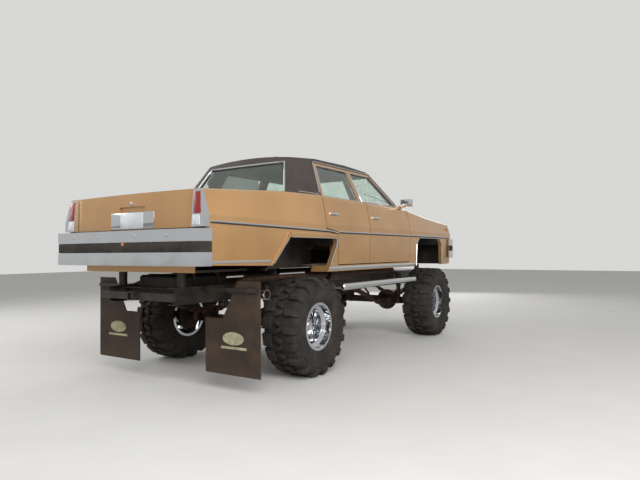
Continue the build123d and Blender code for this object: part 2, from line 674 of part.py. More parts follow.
ENGINE_HALF = 250.0
ENGINE_Y = (Y_FRONT - 88.0, Y_FRONT + 602.0)
ENGINE_Z = (815.0, 1460.0)
Y_CASE = Y_CABIN - 320.0     # front face of the transfer case
CASE_LOW_Z = 776.0

# Crossmembers: y from and to, z from and to. They stand between the rails' webs.
CROSSMEMBERS = [
    (Y_NOSE + 250, Y_NOSE + 330, 775.0, 895.0),
    (Y_FRONT + 196, Y_FRONT + 266, 770.0, ENGINE_Z[0]),
    (Y_CASE + 50, Y_CASE + 130, CASE_LOW_Z - 8, CASE_LOW_Z),
    (Y_REAR - 650, Y_REAR - 580, 775.0, 895.0),
    (Y_REAR + 330, Y_REAR + 400, 775.0, 895.0),
    (Y_TAIL - 410, Y_TAIL - 340, 775.0, 895.0),
]
MOUNT_Y = (Y_SUPPORT + 18, Y_CABIN - 960, Y_CABIN + 240, Y_REAR - 130, Y_TAIL - 370)
MOUNT_X = 395.0
MOUNT_R = 38.0
HITCH_HALF = 470.0


def make_crossmembers():
    """Cross tubes between the rails, the tow bar and the rubber-topped body mounts."""
    x = RAIL_X[1] - RAIL_WALL
    members = []
    for y0, y1, z0, z1 in CROSSMEMBERS:
        bar = block(-x, x, y0, y1, z0, z1)
        if z1 - z0 > 60:
            bar = bar - block(-RAIL_X[0], RAIL_X[0], y0 + 8, y1 + 1, z0 + 8, z1 - 8)
        members.append(bar)
    z, r = HITCH_Z, RECEIVER / 2
    hitch = block(-HITCH_HALF, HITCH_HALF, RAIL_Y[1], RAIL_Y[1] + 64, z - 32, z + 32)
    receiver = block(-36, 36, RAIL_Y[1] - 90, RAIL_Y[1] + 110, z - 36, z + 36)
    socket = block(-r, r, RAIL_Y[1] - 91, RAIL_Y[1] + 111, z - r, z + r)
    y_pin = RAIL_Y[1] + 78
    pin_hole = rod((-40, y_pin, HITCH_Z), (40, y_pin, HITCH_Z), TOW_PIN_R)
    members.append(hitch + receiver - socket - pin_hole)
    for y in MOUNT_Y:
        z_top = SILL_Z if y < -2000 else FLOOR_Z
        puck = rod((MOUNT_X, y, RAIL_Z[1]), (MOUNT_X, y, z_top), MOUNT_R)
        members += both(puck)
    nodes["crossmembers"] = Compound(children=members + spring_hangers())


RECEIVER = 51.0              # square bore of the tow bar socket
HITCH_Z = 832.0
TOW_PIN_R = 8.0

# Axles and springs
SPRING_X = 400.0
SPRING_W = 64.0
SPRING_TOP = 605.0
LEAF_T = 12.0
LEAVES = (640.0, 520.0, 400.0, 280.0, 170.0)
EYE_R = 24.0
EYE_SAG = 130.0
AXLE_TUBE_R = 45.0
KINGPIN_X = 690.0
DIFF_R = 150.0
PINION_LEN = 260.0
DIFF_X_FRONT = -250.0


def leaf_spring(y_axle):
    """A pack of leaves on concentric arcs, with an eye at each end of the main leaf."""
    half = LEAVES[0]
    radius = (half ** 2 + EYE_SAG ** 2) / (2 * EYE_SAG)
    zc = SPRING_TOP + radius
    x0 = SPRING_X - SPRING_W / 2
    pack = []
    for k, reach in enumerate(LEAVES):
        big = rod((x0, y_axle, zc), (x0 + SPRING_W, y_axle, zc), radius + LEAF_T * (k + 1))
        small = rod((x0 - 1, y_axle, zc), (x0 + SPRING_W + 1, y_axle, zc), radius + LEAF_T * k)
        pack.append((big - small) & block(x0, x0 + SPRING_W, y_axle - reach, y_axle + reach, 400, 900))
    for s in (1, -1):
        y, z = y_axle + s * half, SPRING_TOP + EYE_SAG - 6
        pack.append(rod((x0, y, z), (x0 + SPRING_W, y, z), EYE_R))
    return fuse(pack)


def make_springs():
    parts = []
    for y in (Y_FRONT, Y_REAR):
        parts += both(leaf_spring(y))
    nodes["leaf_springs"] = Compound(children=parts)


def spring_hangers():
    """Brackets below the rails that hold the spring eyes."""
    out = []
    for y_axle in (Y_FRONT, Y_REAR):
        for s in (1, -1):
            y = y_axle + s * LEAVES[0]
            z_eye = SPRING_TOP + EYE_SAG - 6
            for side in (1, -1):
                for x in (SPRING_X - SPRING_W / 2 - 7, SPRING_X + SPRING_W / 2):
                    out.append(block(side * x, side * (x + 7), y - 30, y + 30, z_eye - 26, RAIL_Z[0]))
    return out


def axle_tube(y, ends, diff_x, nose):
    """A live axle with its differential, spring seats and the cover facing away from the pinion."""
    tube = rod((-ends, y, AXLE_Z), (ends, y, AXLE_Z), AXLE_TUBE_R)
    ball = Pos(diff_x, y, AXLE_Z) * Sphere(DIFF_R)
    ball = ball & block(diff_x - 112, diff_x + 112, y - 135, y + 135, 300, 660)
    pinion = rod((diff_x, y + nose * 90, AXLE_Z), (diff_x, y + nose * PINION_LEN, AXLE_Z), 84, 48)
    seats = []
    for s in (1, -1):
        x = s * SPRING_X
        seats.append(block(x - 45, x + 45, y - 60, y + 60, AXLE_Z - 20, SPRING_TOP - LEAF_T * len(LEAVES)))
    return fuse([tube, ball, pinion, *seats])


def make_axles():
    rear = axle_tube(Y_REAR, 740, 0, -1)
    for s in (1, -1):
        rear = rear + rod((s * 735, Y_REAR, AXLE_Z), (s * 757, Y_REAR, AXLE_Z), 150)
        rear = rear + rod((s * 755, Y_REAR, AXLE_Z), (s * SPINDLE_END, Y_REAR, AXLE_Z), SPINDLE_R)
        rear = rear + block(s * 470, s * 530, Y_REAR + 30, Y_REAR + SHOCK_DY + 26, AXLE_Z - 30, AXLE_Z - 18)
    nodes["axle_rear"] = rear
    front = axle_tube(Y_FRONT, 606, DIFF_X_FRONT, 1)
    for s in (1, -1):
        for up in (1, -1):
            z0, z1 = AXLE_Z + up * FORK_IN, AXLE_Z + up * FORK_OUT
            arm = block(s * 600, s * KINGPIN_X, Y_FRONT - 28, Y_FRONT + 28, z0, z1)
            arm = arm + rod((s * KINGPIN_X, Y_FRONT, z0), (s * KINGPIN_X, Y_FRONT, z1), 30)
            arm = arm + block(s * 600, s * 622, Y_FRONT - 28, Y_FRONT + 28, AXLE_Z - up * 20, z1)
            arm = arm - rod(
                (s * KINGPIN_X, Y_FRONT, z0 - up * 2), (s * KINGPIN_X, Y_FRONT, z1 + up * 2), KINGPIN_R + RUN)
            front = front + arm
        front = front + block(s * 470, s * 530, Y_FRONT + 30, Y_FRONT + SHOCK_DY + 26, AXLE_Z - 30, AXLE_Z - 18)
    nodes["axle_front"] = front


SPINDLE_END = 925.0
SHOCK_DY = 120.0
SHOCK_X = 500.0
KINGPIN_R = 12.0
FORK_IN = 72.0
FORK_OUT = 98.0
ARM_Z = AXLE_Z - 30.0
ARM_LEN = 210.0
LINK_Z = AXLE_Z + 52.0
PITMAN_LEN = 160.0
PITMAN_X = 250.0
Y_PITMAN = Y_FRONT - 170.0
ARM_R = 14.0
STUD_R = 8.0
EYE_OUT = 20.0


def make_knuckles():
    """Steering knuckles: body between the fork's arms, pins, backing plate, spindle and arms."""
    for name, s in (("left", 1), ("right", -1)):
        x = s * KINGPIN_X
        body = rod((x, Y_FRONT, AXLE_Z - FORK_IN + 4), (x, Y_FRONT, AXLE_Z + FORK_IN - 4), 32)
        pins = rod((x, Y_FRONT, AXLE_Z - FORK_OUT + 2), (x, Y_FRONT, AXLE_Z + FORK_OUT - 2), KINGPIN_R)
        neck = rod((x - s * 9, Y_FRONT, AXLE_Z), (s * 745, Y_FRONT, AXLE_Z), 44)
        plate = rod((s * 743, Y_FRONT, AXLE_Z), (s * 757, Y_FRONT, AXLE_Z), 150)
        spindle = rod((s * 755, Y_FRONT, AXLE_Z), (s * SPINDLE_END, Y_FRONT, AXLE_Z), SPINDLE_R)
        out = [body, pins, neck, plate, spindle]
        arms = [(ARM_Z, ARM_LEN, -1)]
        if s < 0:
            arms.append((LINK_Z, PITMAN_LEN, -1))
        for z, reach, up in arms:
            y = Y_FRONT - reach
            out.append(rod((x, Y_FRONT - 12, z), (x, y, z), ARM_R))
            out.append(rod((x, y, z - ARM_R - 3), (x, y, z + ARM_R + 3), EYE_OUT - 3))
            out.append(rod((x, y, z), (x, y, z + up * 44), STUD_R))
        nodes[f"knuckle_{name}"] = fuse(out)


def linkage_bar(p, q, r, eye_half):
    """A rod with an eye at each end, bored for an upright stud."""
    bar = rod(p, q, r)
    for x, y, z in (p, q):
        bar = bar + rod((x, y, z - eye_half), (x, y, z + eye_half), EYE_OUT)
    for x, y, z in (p, q):
        bar = bar - rod((x, y, z - eye_half - 1), (x, y, z + eye_half + 1), STUD_R + RUN)
    return bar


TIE_Z = ARM_Z - 32.0
DRAG_Z = LINK_Z - 36.0


def make_steering():
    x = KINGPIN_X
    y = Y_FRONT - ARM_LEN
    nodes["tie_rod"] = linkage_bar((-x, y, TIE_Z), (x, y, TIE_Z), 15, 14)
    y_arm = Y_FRONT - PITMAN_LEN
    y_tip = Y_PITMAN - PITMAN_LEN
    nodes["drag_link"] = linkage_bar((-x, y_arm, DRAG_Z), (PITMAN_X, y_tip, DRAG_Z), 13, 14)
    hub_z = BOX_LOW_Z - 40
    arm = rod((PITMAN_X, Y_PITMAN, hub_z - 10), (PITMAN_X, Y_PITMAN, BOX_LOW_Z - 4), 32)
    arm = arm + rod((PITMAN_X, Y_PITMAN, BOX_LOW_Z - 10), (PITMAN_X, Y_PITMAN, BOX_LOW_Z + 50), SHAFT_R)
    arm = arm + rod((PITMAN_X, Y_PITMAN, hub_z + 4), (PITMAN_X, y_tip, DRAG_Z + 44), 15)
    arm = arm + rod((PITMAN_X, y_tip, DRAG_Z + 20), (PITMAN_X, y_tip, DRAG_Z + 56), 20)
    arm = arm + rod((PITMAN_X, y_tip, DRAG_Z + 44), (PITMAN_X, y_tip, DRAG_Z - 12), STUD_R)
    nodes["pitman_arm"] = arm


BOX_LOW_Z = 700.0
BOX_TOP_Z = RAIL_Z[1] - 30.0
SHOCK_TOP = RAIL_Z[1] - 30.0
SHAFT_R = 16.0


def make_steering_box():
    """Steering gear on the left rail and the column up to the wheel."""
    box = block(PITMAN_X - 42, RAIL_X[0], Y_PITMAN - 60, Y_PITMAN + 60, BOX_LOW_Z, BOX_TOP_Z)
    box = box - rod((PITMAN_X, Y_PITMAN, BOX_LOW_Z - 1), (PITMAN_X, Y_PITMAN, BOX_LOW_Z + 54), SHAFT_R + RUN)
    nodes["steering_box"] = box


def make_shocks():
    parts = []
    for y_axle in (Y_FRONT, Y_REAR):
        y = y_axle + SHOCK_DY
        low = rod((SHOCK_X, y, AXLE_Z - 18), (SHOCK_X, y, AXLE_Z + 230), 30)
        high = rod((SHOCK_X, y, AXLE_Z + 225), (SHOCK_X, y, SHOCK_TOP), 38)
        bracket = block(RAIL_X[1], SHOCK_X + 20, y - 30, y + 30, SHOCK_TOP, SHOCK_TOP + 16)
        parts += both(fuse([low, high, bracket]))
    nodes["shocks"] = Compound(children=parts)


# Drive line
JOINT_R = 50.0               # universal joints
CASE_LEN = 170.0


def make_driveline():
    nodes["engine"] = block(-ENGINE_HALF, ENGINE_HALF, *ENGINE_Y, *ENGINE_Z)
    y = ENGINE_Y[1]
    gearbox = rod((0, y, 872), (0, y + 70, 872), 160)
    gearbox = gearbox + rod((0, y + 65, 880), (0, Y_CASE + 20, 880), 118, 95)
    case = block(-320, 120, Y_CASE, Y_CASE + CASE_LEN, CASE_LOW_Z, 985)
    case = fillet(case.edges().filter_by(Axis.Y), 40)
    pan = block(-150, 150, Y_CASE - 440, Y_CASE - 240, CASE_LOW_Z, 830)
    nodes["gearbox"] = fuse([gearbox, case, pan])
    shafts = []
    rows = (
        (0, Y_CASE + CASE_LEN, Y_REAR - PINION_LEN, 860, 42),
        (DIFF_X_FRONT, Y_CASE, Y_FRONT + PINION_LEN, 830, 32),
    )
    for x, y0, y1, z0, r in rows:
        s = 1 if y1 > y0 else -1
        ends = [(x, y0 + s * (JOINT_R - 4), z0), (x, y1 - s * (JOINT_R + SEAT), AXLE_Z)]
        balls = [Pos(*p) * Sphere(JOINT_R) & block(-FAR, FAR, min(y0, y1), max(y0, y1), 0, 2000) for p in ends]
        shafts.append(fuse([rod(*ends, r), *balls]))
    nodes["driveshafts"] = Compound(children=shafts)


def make_tank():
    y0, y1 = Y_REAR + 470, Y_TAIL - 470
    tank = block(-300, 300, y0, y1, 790, 1000)
    tank = fillet(tank.edges(), 30)
    x, z = RAIL_X[0], RAIL_Z[1]
    straps = [
        block(-306, 306, y, y + 40, 784, 1006) + block(-x, x, y, y + 40, z - 8, z) for y in (y0 + 120, y1 - 160)
    ]
    nodes["fuel_tank"] = fuse([tank, *straps])


EXHAUST_X = 600.0
EXHAUST_Z = 948.0
PIPE_R = 32.0
Y_TIP = Y_TAIL - 660.0
TIP_X = 1108.0


def make_exhaust():
    """A pipe down each side with a silencer, turned out behind the rear wheel."""
    route = [
        (ENGINE_HALF, ENGINE_Y[1] - 60, EXHAUST_Z), (EXHAUST_X, ENGINE_Y[1] - 60, EXHAUST_Z),
        (EXHAUST_X, Y_TIP - 250, EXHAUST_Z),
        (EXHAUST_X + 60, Y_TIP - 40, 870), (TIP_X - 90, Y_TIP, 850)
    ]
    pipe = []
    for a, b in zip(route, route[1:]):
        pipe.append(rod(a, b, PIPE_R))
    for p in route[1:-1]:
        pipe.append(Pos(*p) * Sphere(PIPE_R))
    pipe.append(rod((EXHAUST_X, Y_CABIN - 150, EXHAUST_Z), (EXHAUST_X, Y_CABIN + 450, EXHAUST_Z), 72))
    tip = rod((TIP_X - 100, Y_TIP, 850), (TIP_X, Y_TIP, 850), 40)
    tip = tip - rod((TIP_X - 60, Y_TIP, 850), (TIP_X + 1, Y_TIP, 850), 34)
    out = fuse([*pipe, tip])
    nodes["exhaust"] = Compound(children=both(out))


STEP_BAR_X = 985.0
STEP_BAR_Z = 832.0
STEP_BAR_R = 38.0
STEP_BAR_Y = (Y_FRONT + 666.0, Y_REAR - 590.0)


def make_side_steps():
    """Tubular side steps below the rockers, on arms from the frame rails."""
    y0, y1 = STEP_BAR_Y
    bar = rod((STEP_BAR_X, y0, STEP_BAR_Z), (STEP_BAR_X, y1, STEP_BAR_Z), STEP_BAR_R)
    ends = [Pos(STEP_BAR_X, y, STEP_BAR_Z) * Sphere(STEP_BAR_R) for y in (y0, y1)]
    arms = []
    for y in (y0 + 160, (y0 + y1) / 2, y1 - 160):
        arms.append(block(RAIL_X[1], STEP_BAR_X, y - 30, y + 30, 800, 814))
    nodes["side_steps"] = Compound(children=both(fuse([bar, *ends, *arms])))


FLAP_Y = Y_TIP + 50.0
FLAP = (450.0, 1080.0, 150.0, 960.0)
FLAP_T = 9.0


def make_mud_flaps():
    """Truck mud flaps behind the rear wheels, hung on arms from the rails."""
    x0, x1, z0, z1 = FLAP
    z_step = z1 - 330
    outline = [(x0 + 386, z1), (x0 + 206, z_step), (x0, z_step), (x0, z0), (x1, z0), (x1, z1)]
    flap = front_prism(outline, FLAP_Y, FLAP_Y + FLAP_T)
    arm = block(RAIL_X[1], x1 - 20, FLAP_Y + FLAP_T, FLAP_Y + FLAP_T + 26, 868, 900)
    nodes["mud_flaps"] = Compound(children=both(flap))
    nodes["flap_arms"] = Compound(children=both(arm))


# Wheels and tyres, turned about the X axis
def turned(points, x_sign=1):
    """A solid turned about the X axis through the axle's height from (x, radius) points."""
    wire = Wire.make_polygon([Vector(x * x_sign, 0, r) for x, r in points], close=True)
    return revolve(Face(wire), Axis.X, 360)


LIP_T = 9.0
RIM_IN_X = WHEEL_X - RIM_W / 2
RIM_OUT_X = WHEEL_X + RIM_W / 2
TREAD_HALF = 176.0
LUGS = 18                    # lugs on each shoulder, staggered from side to side
LUG_H = 30.0
LUG_FOOT_R = 408.0           # the lugs run this far down the sidewall


def tyre_slice(lug_side):
    """One of the tyre's flat-faced slices, with a lug on one shoulder only."""
    half = TYRE_W / 2
    seat = RIM_W / 2 - LIP_T - SEAT
    wall = [(seat, RIM_R + SEAT), (seat, RIM_LIP_R + 8), (half - 14, 296), (half - 3, 352), (half - 8, LUG_FOOT_R)]
    tread = TYRE_R - LUG_H
    lug = [(half, LUG_FOOT_R + 22), (half - 4, TYRE_R - 30), (TREAD_HALF, TYRE_R), (12, TYRE_R), (12, tread)]
    plain = [(TREAD_HALF, tread)]
    ring = [(lug_side * x, r) for x, r in wall + lug] + [(-lug_side * x, r) for x, r in reversed(wall + plain)]
    turn = 180.0 / (2 * LUGS)
    reach = TYRE_R * tan(radians(turn)) + 1
    wire = Wire.make_polygon([Vector(WHEEL_X + x, -reach, r) for x, r in ring], close=True)
    bar = Solid.extrude(Face(wire), Vector(0, 2 * reach, 0))
    wide = TYRE_R * tan(radians(turn)) * 1.2
    wedge = side_prism([(0, 0), (-wide, TYRE_R * 1.2), (wide, TYRE_R * 1.2)], WHEEL_X - half - 1, WHEEL_X + half + 1)
    return bar & wedge


def tyre_shape():
    """A mud tyre of flat facets, one lug and one gap to each pair of slices."""
    pair = [tyre_slice(1), tyre_slice(-1)]
    pitch = 360.0 / (2 * LUGS)
    slices = [Rot(k * pitch, 0, 0) * pair[k % 2] for k in range(2 * LUGS)]
    return slices[0].fuse(*slices[1:])


HAND_HOLES = 8               # round holes in the wheel's disc
HAND_PITCH_R = 139.0
HAND_R = 17.0


def wheel_shape():
    """Deep-dish steel wheel: barrel and lips, the disc near its inner edge, and the hub."""
    lip, bead, well = RIM_LIP_R, RIM_R, RIM_R - 34
    a, b = RIM_IN_X, RIM_OUT_X
    barrel = turned([
        (a, lip), (a, bead - 9), (a + 60, bead - 9), (a + 84, well - 9), (b - 90, well - 9), (b - 62, bead - 9),
        (b, bead - 9), (b, lip), (b - 9, lip), (b - 9, bead), (b - 58, bead), (b - 80, well), (a + 78, well),
        (a + 56, bead), (a + 9, bead), (a + 9, lip)
    ])
    disc = turned([
        (HUB_FACE_X, 20), (HUB_FACE_X, 80), (HUB_FACE_X + 26, 120), (HUB_FACE_X + 26, 158), (HUB_FACE_X, well - 9),
        (HUB_FACE_X + 9, well - 8), (HUB_FACE_X + 36, 160), (HUB_FACE_X + 36, 116), (HUB_FACE_X + 10, 76),
        (HUB_FACE_X + 10, 20)
    ])
    hub = turned([
        (762, 20), (762, 66), (900, 66), (906, 52), (944, 48), (950, 42), (950, 20)
    ])
    for k in range(HAND_HOLES):
        a = radians(360.0 * (k + 0.5) / HAND_HOLES)
        y, z = HAND_PITCH_R * sin(a), HAND_PITCH_R * cos(a)
        disc = disc - rod((HUB_FACE_X - 10, y, z), (HUB_FACE_X + 50, y, z), HAND_R)
    bore = turned([(760, 0), (760, SPINDLE_R + RUN), (SPINDLE_END + 1, SPINDLE_R + RUN), (SPINDLE_END + 1, 0)])
    core = turned([(762, 0), (762, 30), (950, 30), (950, 0)])
    return barrel + disc + hub + core - bore


def make_wheels():
    tyre, wheel = tyre_shape(), wheel_shape()
    for place, y in (("front", Y_FRONT), ("rear", Y_REAR)):
        for side in ("left", "right"):
            for name, shape in (("tyre", tyre), ("wheel", wheel)):
                piece = shape if side == "left" else mirrored(shape)
                nodes[f"{name}_{place}_{side}"] = Pos(0, y, AXLE_Z) * piece


# Cabin
SEAT_HALF = 640.0
REAR_SEAT_HALF = TUB_X - 8.0
CUSHION_Z = 470.0 + LIFT     # top of the seat frames


def cushion(x, y0, y1, z0, z1, r=45.0):
    shape = block(-x, x, Y_CABIN + y0, Y_CABIN + y1, z0, z1)
    return fillet(shape.edges(), r)


def back_rest(x, y, z0, z1, lean):
    """A bench's back, leaning rearwards by `lean` over its height."""
    t = 130.0
    y += Y_CABIN
    shape = side_prism([(y, z0), (y + t, z0), (y + t + lean - 30, z1), (y + lean, z1)], -x, x)
    return fillet(shape.edges(), 28)


def make_seats():
    frames = [
        block(-520, 520, Y_CABIN + y0, Y_CABIN + y1, FLOOR_Z + FLOOR_T, CUSHION_Z)
        for y0, y1 in ((-330, 60), (640, 1010))
    ]
    nodes["seat_frames"] = Compound(children=frames)
    z = CUSHION_Z + SEAT
    nodes["seats"] = Compound(children=[
        cushion(SEAT_HALF, -420, 140, z, z + 150),
        back_rest(SEAT_HALF, 20, z + 150 + SEAT, z + 650, 130),
        cushion(REAR_SEAT_HALF, 540, 1080, z, z + 160),
        back_rest(REAR_SEAT_HALF, 940, z + 160 + SEAT, z + 630, 120),
    ])


def make_dash():
    """Instrument panel with the steering column that carries the wheel."""
    half = POST_IN_X - 2
    y0, y1 = Y_HOOD_END + COWL_GAP + 20, Y_COWL + 225
    dash = side_prism([
        (y0, 640 + LIFT), (y1 + 20, 640 + LIFT), (y1, 700 + LIFT), (y1, 880 + LIFT),
        (y1 - 40, 915 + LIFT), (y0, 930 + LIFT)
    ], -half, half)
    top = WHEEL_HUB
    low = (COLUMN_X, top[1] - 330, top[2] - 120)
    column = rod(low, top, 26)
    bore = rod(low, (COLUMN_X, top[1] + 33, top[2] + 12), 10 + RUN)
    nodes["dashboard"] = dash + column - bore


COLUMN_X = 370.0
WHEEL_HUB = (COLUMN_X, Y_COWL + 375.0, 872.0 + LIFT)
COLUMN_LEAN = (0.0, 330.0, 120.0)


def make_steering_wheel():
    """Two-spoke steering wheel on a short shaft in the column."""
    axis = Vector(*COLUMN_LEAN).normalized()
    hub = Vector(*WHEEL_HUB)
    plane = Plane(origin=hub + axis * 40, z_dir=axis, x_dir=(1, 0, 0))
    rim = plane * Torus(195, 14)
    boss = rod(hub + axis * 5, hub + axis * 52, 48)
    shaft = rod(hub - axis * 60, hub + axis * 6, 10)
    spokes = [plane * Pos(0, 0, -4) * Box(380, 46, 12)]
    nodes["steering_wheel"] = fuse([rim, boss, shaft, *spokes])


def build():
    make_doors()
    make_wings()
    make_lids()
    make_quarters()
    make_side_frames()
    make_roof()
    make_fixed_glass()
    make_cowl()
    make_floor()
    make_tail_panel()
    make_tubs()
    make_nose()
    make_grille()
    make_headlamps()
    make_tail_lamps()
    make_front_support()
    make_bumpers()
    make_frame()
    make_crossmembers()
    make_springs()
    make_axles()
    make_knuckles()
    make_steering()
    make_steering_box()
    make_shocks()
    make_driveline()
    make_tank()
    make_exhaust()
    make_side_steps()
    make_mud_flaps()
    make_wheels()
    make_seats()
    make_dash()
    make_steering_wheel()


build()
os.makedirs("parts", exist_ok=True)
for name, shape in nodes.items():
    export_step(shape, f"parts/{name}.step")
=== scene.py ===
# %% [markdown]
# # A lifted four-door sedan
#
# The car is a long formal sedan of the late 1970s on a tall four-wheel-drive chassis. Its panels,
# chassis and moving parts already exist at their real sizes as the frame's nodes. This lesson
# dresses them: it gives each surface its finish, and it models the tyres, wheel nuts, bright trim,
# lamps and soft seats that the eye goes to first. Everything is in metres, Z is up, the nose points
# to -Y and the car's left is +X.

# %% Load the frame and keep its box
from math import pi, radians

import bpy
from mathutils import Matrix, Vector


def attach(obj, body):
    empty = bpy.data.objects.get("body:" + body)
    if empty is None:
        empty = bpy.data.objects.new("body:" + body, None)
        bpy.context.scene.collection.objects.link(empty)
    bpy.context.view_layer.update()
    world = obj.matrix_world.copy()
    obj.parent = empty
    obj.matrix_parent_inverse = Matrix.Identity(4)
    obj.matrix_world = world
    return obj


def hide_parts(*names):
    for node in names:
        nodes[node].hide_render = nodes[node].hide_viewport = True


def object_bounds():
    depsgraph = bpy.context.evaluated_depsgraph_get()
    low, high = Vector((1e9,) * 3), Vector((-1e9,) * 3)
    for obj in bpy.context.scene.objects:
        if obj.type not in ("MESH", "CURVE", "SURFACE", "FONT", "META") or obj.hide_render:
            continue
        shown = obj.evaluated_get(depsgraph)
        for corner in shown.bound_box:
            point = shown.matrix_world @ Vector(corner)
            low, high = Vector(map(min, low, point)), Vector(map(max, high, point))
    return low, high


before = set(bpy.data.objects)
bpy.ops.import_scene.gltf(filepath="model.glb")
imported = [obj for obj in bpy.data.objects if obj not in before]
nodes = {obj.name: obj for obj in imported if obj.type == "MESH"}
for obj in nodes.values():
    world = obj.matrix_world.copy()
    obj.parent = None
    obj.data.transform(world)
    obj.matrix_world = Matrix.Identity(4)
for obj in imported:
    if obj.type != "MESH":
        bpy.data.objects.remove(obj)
cad_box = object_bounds()
print("nodes in the frame:", len(nodes))

# %% [markdown]
# ## Camera
#
# The photograph was taken from behind and to the right of the car, at the height of a seated
# driver's eyes, with a wide lens. The place and the turn below come from matching the car's known
# corners to the picture. The picture is 640 pixels wide, so the focal length in pixels gives the
# lens on a 36 mm sensor.

# %% The photograph's camera
SENSOR_MM = 36.0
FOCAL_PX = 545.3
PHOTO_WIDTH = 640
CAMERA_PLACE = (-3.992, 5.714, 1.203)
PITCH, ROLL, HEADING = radians(1.276), radians(0.402), radians(-146.57)

bpy.ops.object.camera_add(location=CAMERA_PLACE, rotation=(pi / 2 + PITCH, ROLL, HEADING))
camera = bpy.context.object
camera.name = "photo_camera"
camera.data.sensor_width = SENSOR_MM
camera.data.lens = SENSOR_MM * FOCAL_PX / PHOTO_WIDTH
bpy.context.scene.camera = camera
print("lens:", round(camera.data.lens, 2), "mm")

# %% [markdown]
# ## A small kit for nodes and colours
#
# Paint charts and screens give colours as sRGB hex values, but a shader works in linear light, so
# one function turns one into the other. A second one adds any node: a plain value sets an input,
# and a socket is linked to it. Patterns are sized in millimetres on the real car.

# %% Colour and node helpers
MM = 0.001


def linear(hex_code):
    """The linear RGBA colour of an sRGB hex value."""
    channels = [int(hex_code[k:k + 2], 16) / 255 for k in (1, 3, 5)]
    return (*[c / 12.92 if c <= 0.04045 else ((c + 0.055) / 1.055) ** 2.4 for c in channels], 1.0)


def scale_of(size_mm):
    """The scale at which a pattern repeats in a real size."""
    return 1 / (size_mm * MM)


def add_node(tree, kind, inputs=None, **settings):
    """A new node with its settings, and its inputs set to values or linked to sockets."""
    node = tree.nodes.new(kind)
    for key, value in settings.items():
        setattr(node, key, value)
    for key, value in (inputs or {}).items():
        if isinstance(value, bpy.types.NodeSocket):
            tree.links.new(value, node.inputs[key])
        else:
            node.inputs[key].default_value = value
    return node


print("mid grey #808080 is", round(linear("#808080")[0], 3), "in linear light")

# %% Material helpers
MIX_FACTOR, MIX_DARK, MIX_LIGHT, MIX_RESULT = 0, 6, 7, 2  # a colour mix node's sockets
FINISH = {}  # the material of each slot


def new_finish(name, **sockets):
    """A material with its shader's plain sockets set, its node tree and its Object coordinates."""
    finish = bpy.data.materials.new(name)
    finish.use_nodes = True
    tree = finish.node_tree
    shader = tree.nodes["Principled BSDF"]
    for key, value in sockets.items():
        shader.inputs[key.replace("_", " ")].default_value = value
    place = add_node(tree, "ShaderNodeTexCoord").outputs["Object"]
    return finish, tree, shader, place


def two_tone(tree, shader, factor, dark, light):
    """Colours a shader by mixing two sRGB colours with a factor."""
    mix = add_node(tree, "ShaderNodeMix", {
        MIX_FACTOR: factor, MIX_DARK: linear(dark), MIX_LIGHT: linear(light)}, data_type="RGBA")
    tree.links.new(mix.outputs[MIX_RESULT], shader.inputs["Base Color"])


def hazed(tree, shader, pattern, low, high, start=0.0, end=1.0):
    """Moves a shader's roughness from low to high while a pattern goes from start to end."""
    rough = add_node(tree, "ShaderNodeMapRange", {
        "Value": pattern, "From Min": start, "From Max": end, "To Min": low, "To Max": high})
    tree.links.new(rough.outputs[0], shader.inputs["Roughness"])


def bumped(tree, shader, height, depth_mm):
    """Feeds a height pattern to a shader as bump of a real depth."""
    bump = add_node(tree, "ShaderNodeBump", {"Height": height, "Distance": depth_mm * MM})
    tree.links.new(bump.outputs["Normal"], shader.inputs["Normal"])


print("a pattern of 5 mm has a scale of", round(scale_of(5.0)))

# %% [markdown]
# ## Paint
#
# The body is sprayed in a gold-copper metallic: aluminium flake in a tinted base under clear
# lacquer. One flat colour would look like plastic. The flake is finer than a pixel, so it is drawn
# at 1.2 mm, large enough to show as a faint sparkle, and the shader's coat is the lacquer. A broad
# noise stands for decades of sun and dust on the flat panels.

# %% Metallic lacquer
FLAKE_MM, FLAKE_SHARE = 1.2, 0.25
DUST_MM = 700.0

lacquer, tree, shader, place = new_finish(
    "metallic_lacquer", Metallic=0.55, Coat_Weight=0.6, Coat_Roughness=0.1)
flake = add_node(tree, "ShaderNodeTexVoronoi", {"Vector": place, "Scale": scale_of(FLAKE_MM)})
dust = add_node(tree, "ShaderNodeTexNoise", {
    "Vector": place, "Scale": scale_of(DUST_MM), "Detail": 6.0})
glints = add_node(tree, "ShaderNodeMath", {0: flake.outputs["Color"], 1: FLAKE_SHARE},
                  operation="MULTIPLY")
both = add_node(tree, "ShaderNodeMath", {0: glints.outputs[0], 1: dust.outputs["Fac"]},
                operation="ADD")
two_tone(tree, shader, both.outputs[0], "#946D43", "#C69A66")
hazed(tree, shader, dust.outputs["Fac"], 0.28, 0.46)
FINISH["body_paint"] = lacquer
print("lacquer with flakes of", FLAKE_MM, "mm")

# %% [markdown]
# ## Padded vinyl
#
# The roof is covered in dark vinyl over thin foam, with a pressed leather grain. The grain could
# be an image, but a cell pattern reads the car's own coordinates and has no seams. Its cells are
# about 3 mm across, larger than the real 1 mm so that they show. A slow noise fades the colour.

# %% Grained vinyl
GRAIN_MM, FADE_MM = 3.0, 200.0

vinyl, tree, shader, place = new_finish("grained_vinyl", Roughness=0.58, Specular_IOR_Level=0.4)
cells = add_node(tree, "ShaderNodeTexVoronoi", {"Vector": place, "Scale": scale_of(GRAIN_MM)},
                 feature="DISTANCE_TO_EDGE")
fade = add_node(tree, "ShaderNodeTexNoise", {
    "Vector": place, "Scale": scale_of(FADE_MM), "Detail": 5.0})
two_tone(tree, shader, fade.outputs["Fac"], "#2C2522", "#4A403A")
bumped(tree, shader, cells.outputs["Distance"], 0.6)
FINISH["vinyl_roof"] = vinyl
print("vinyl with a grain of", GRAIN_MM, "mm")

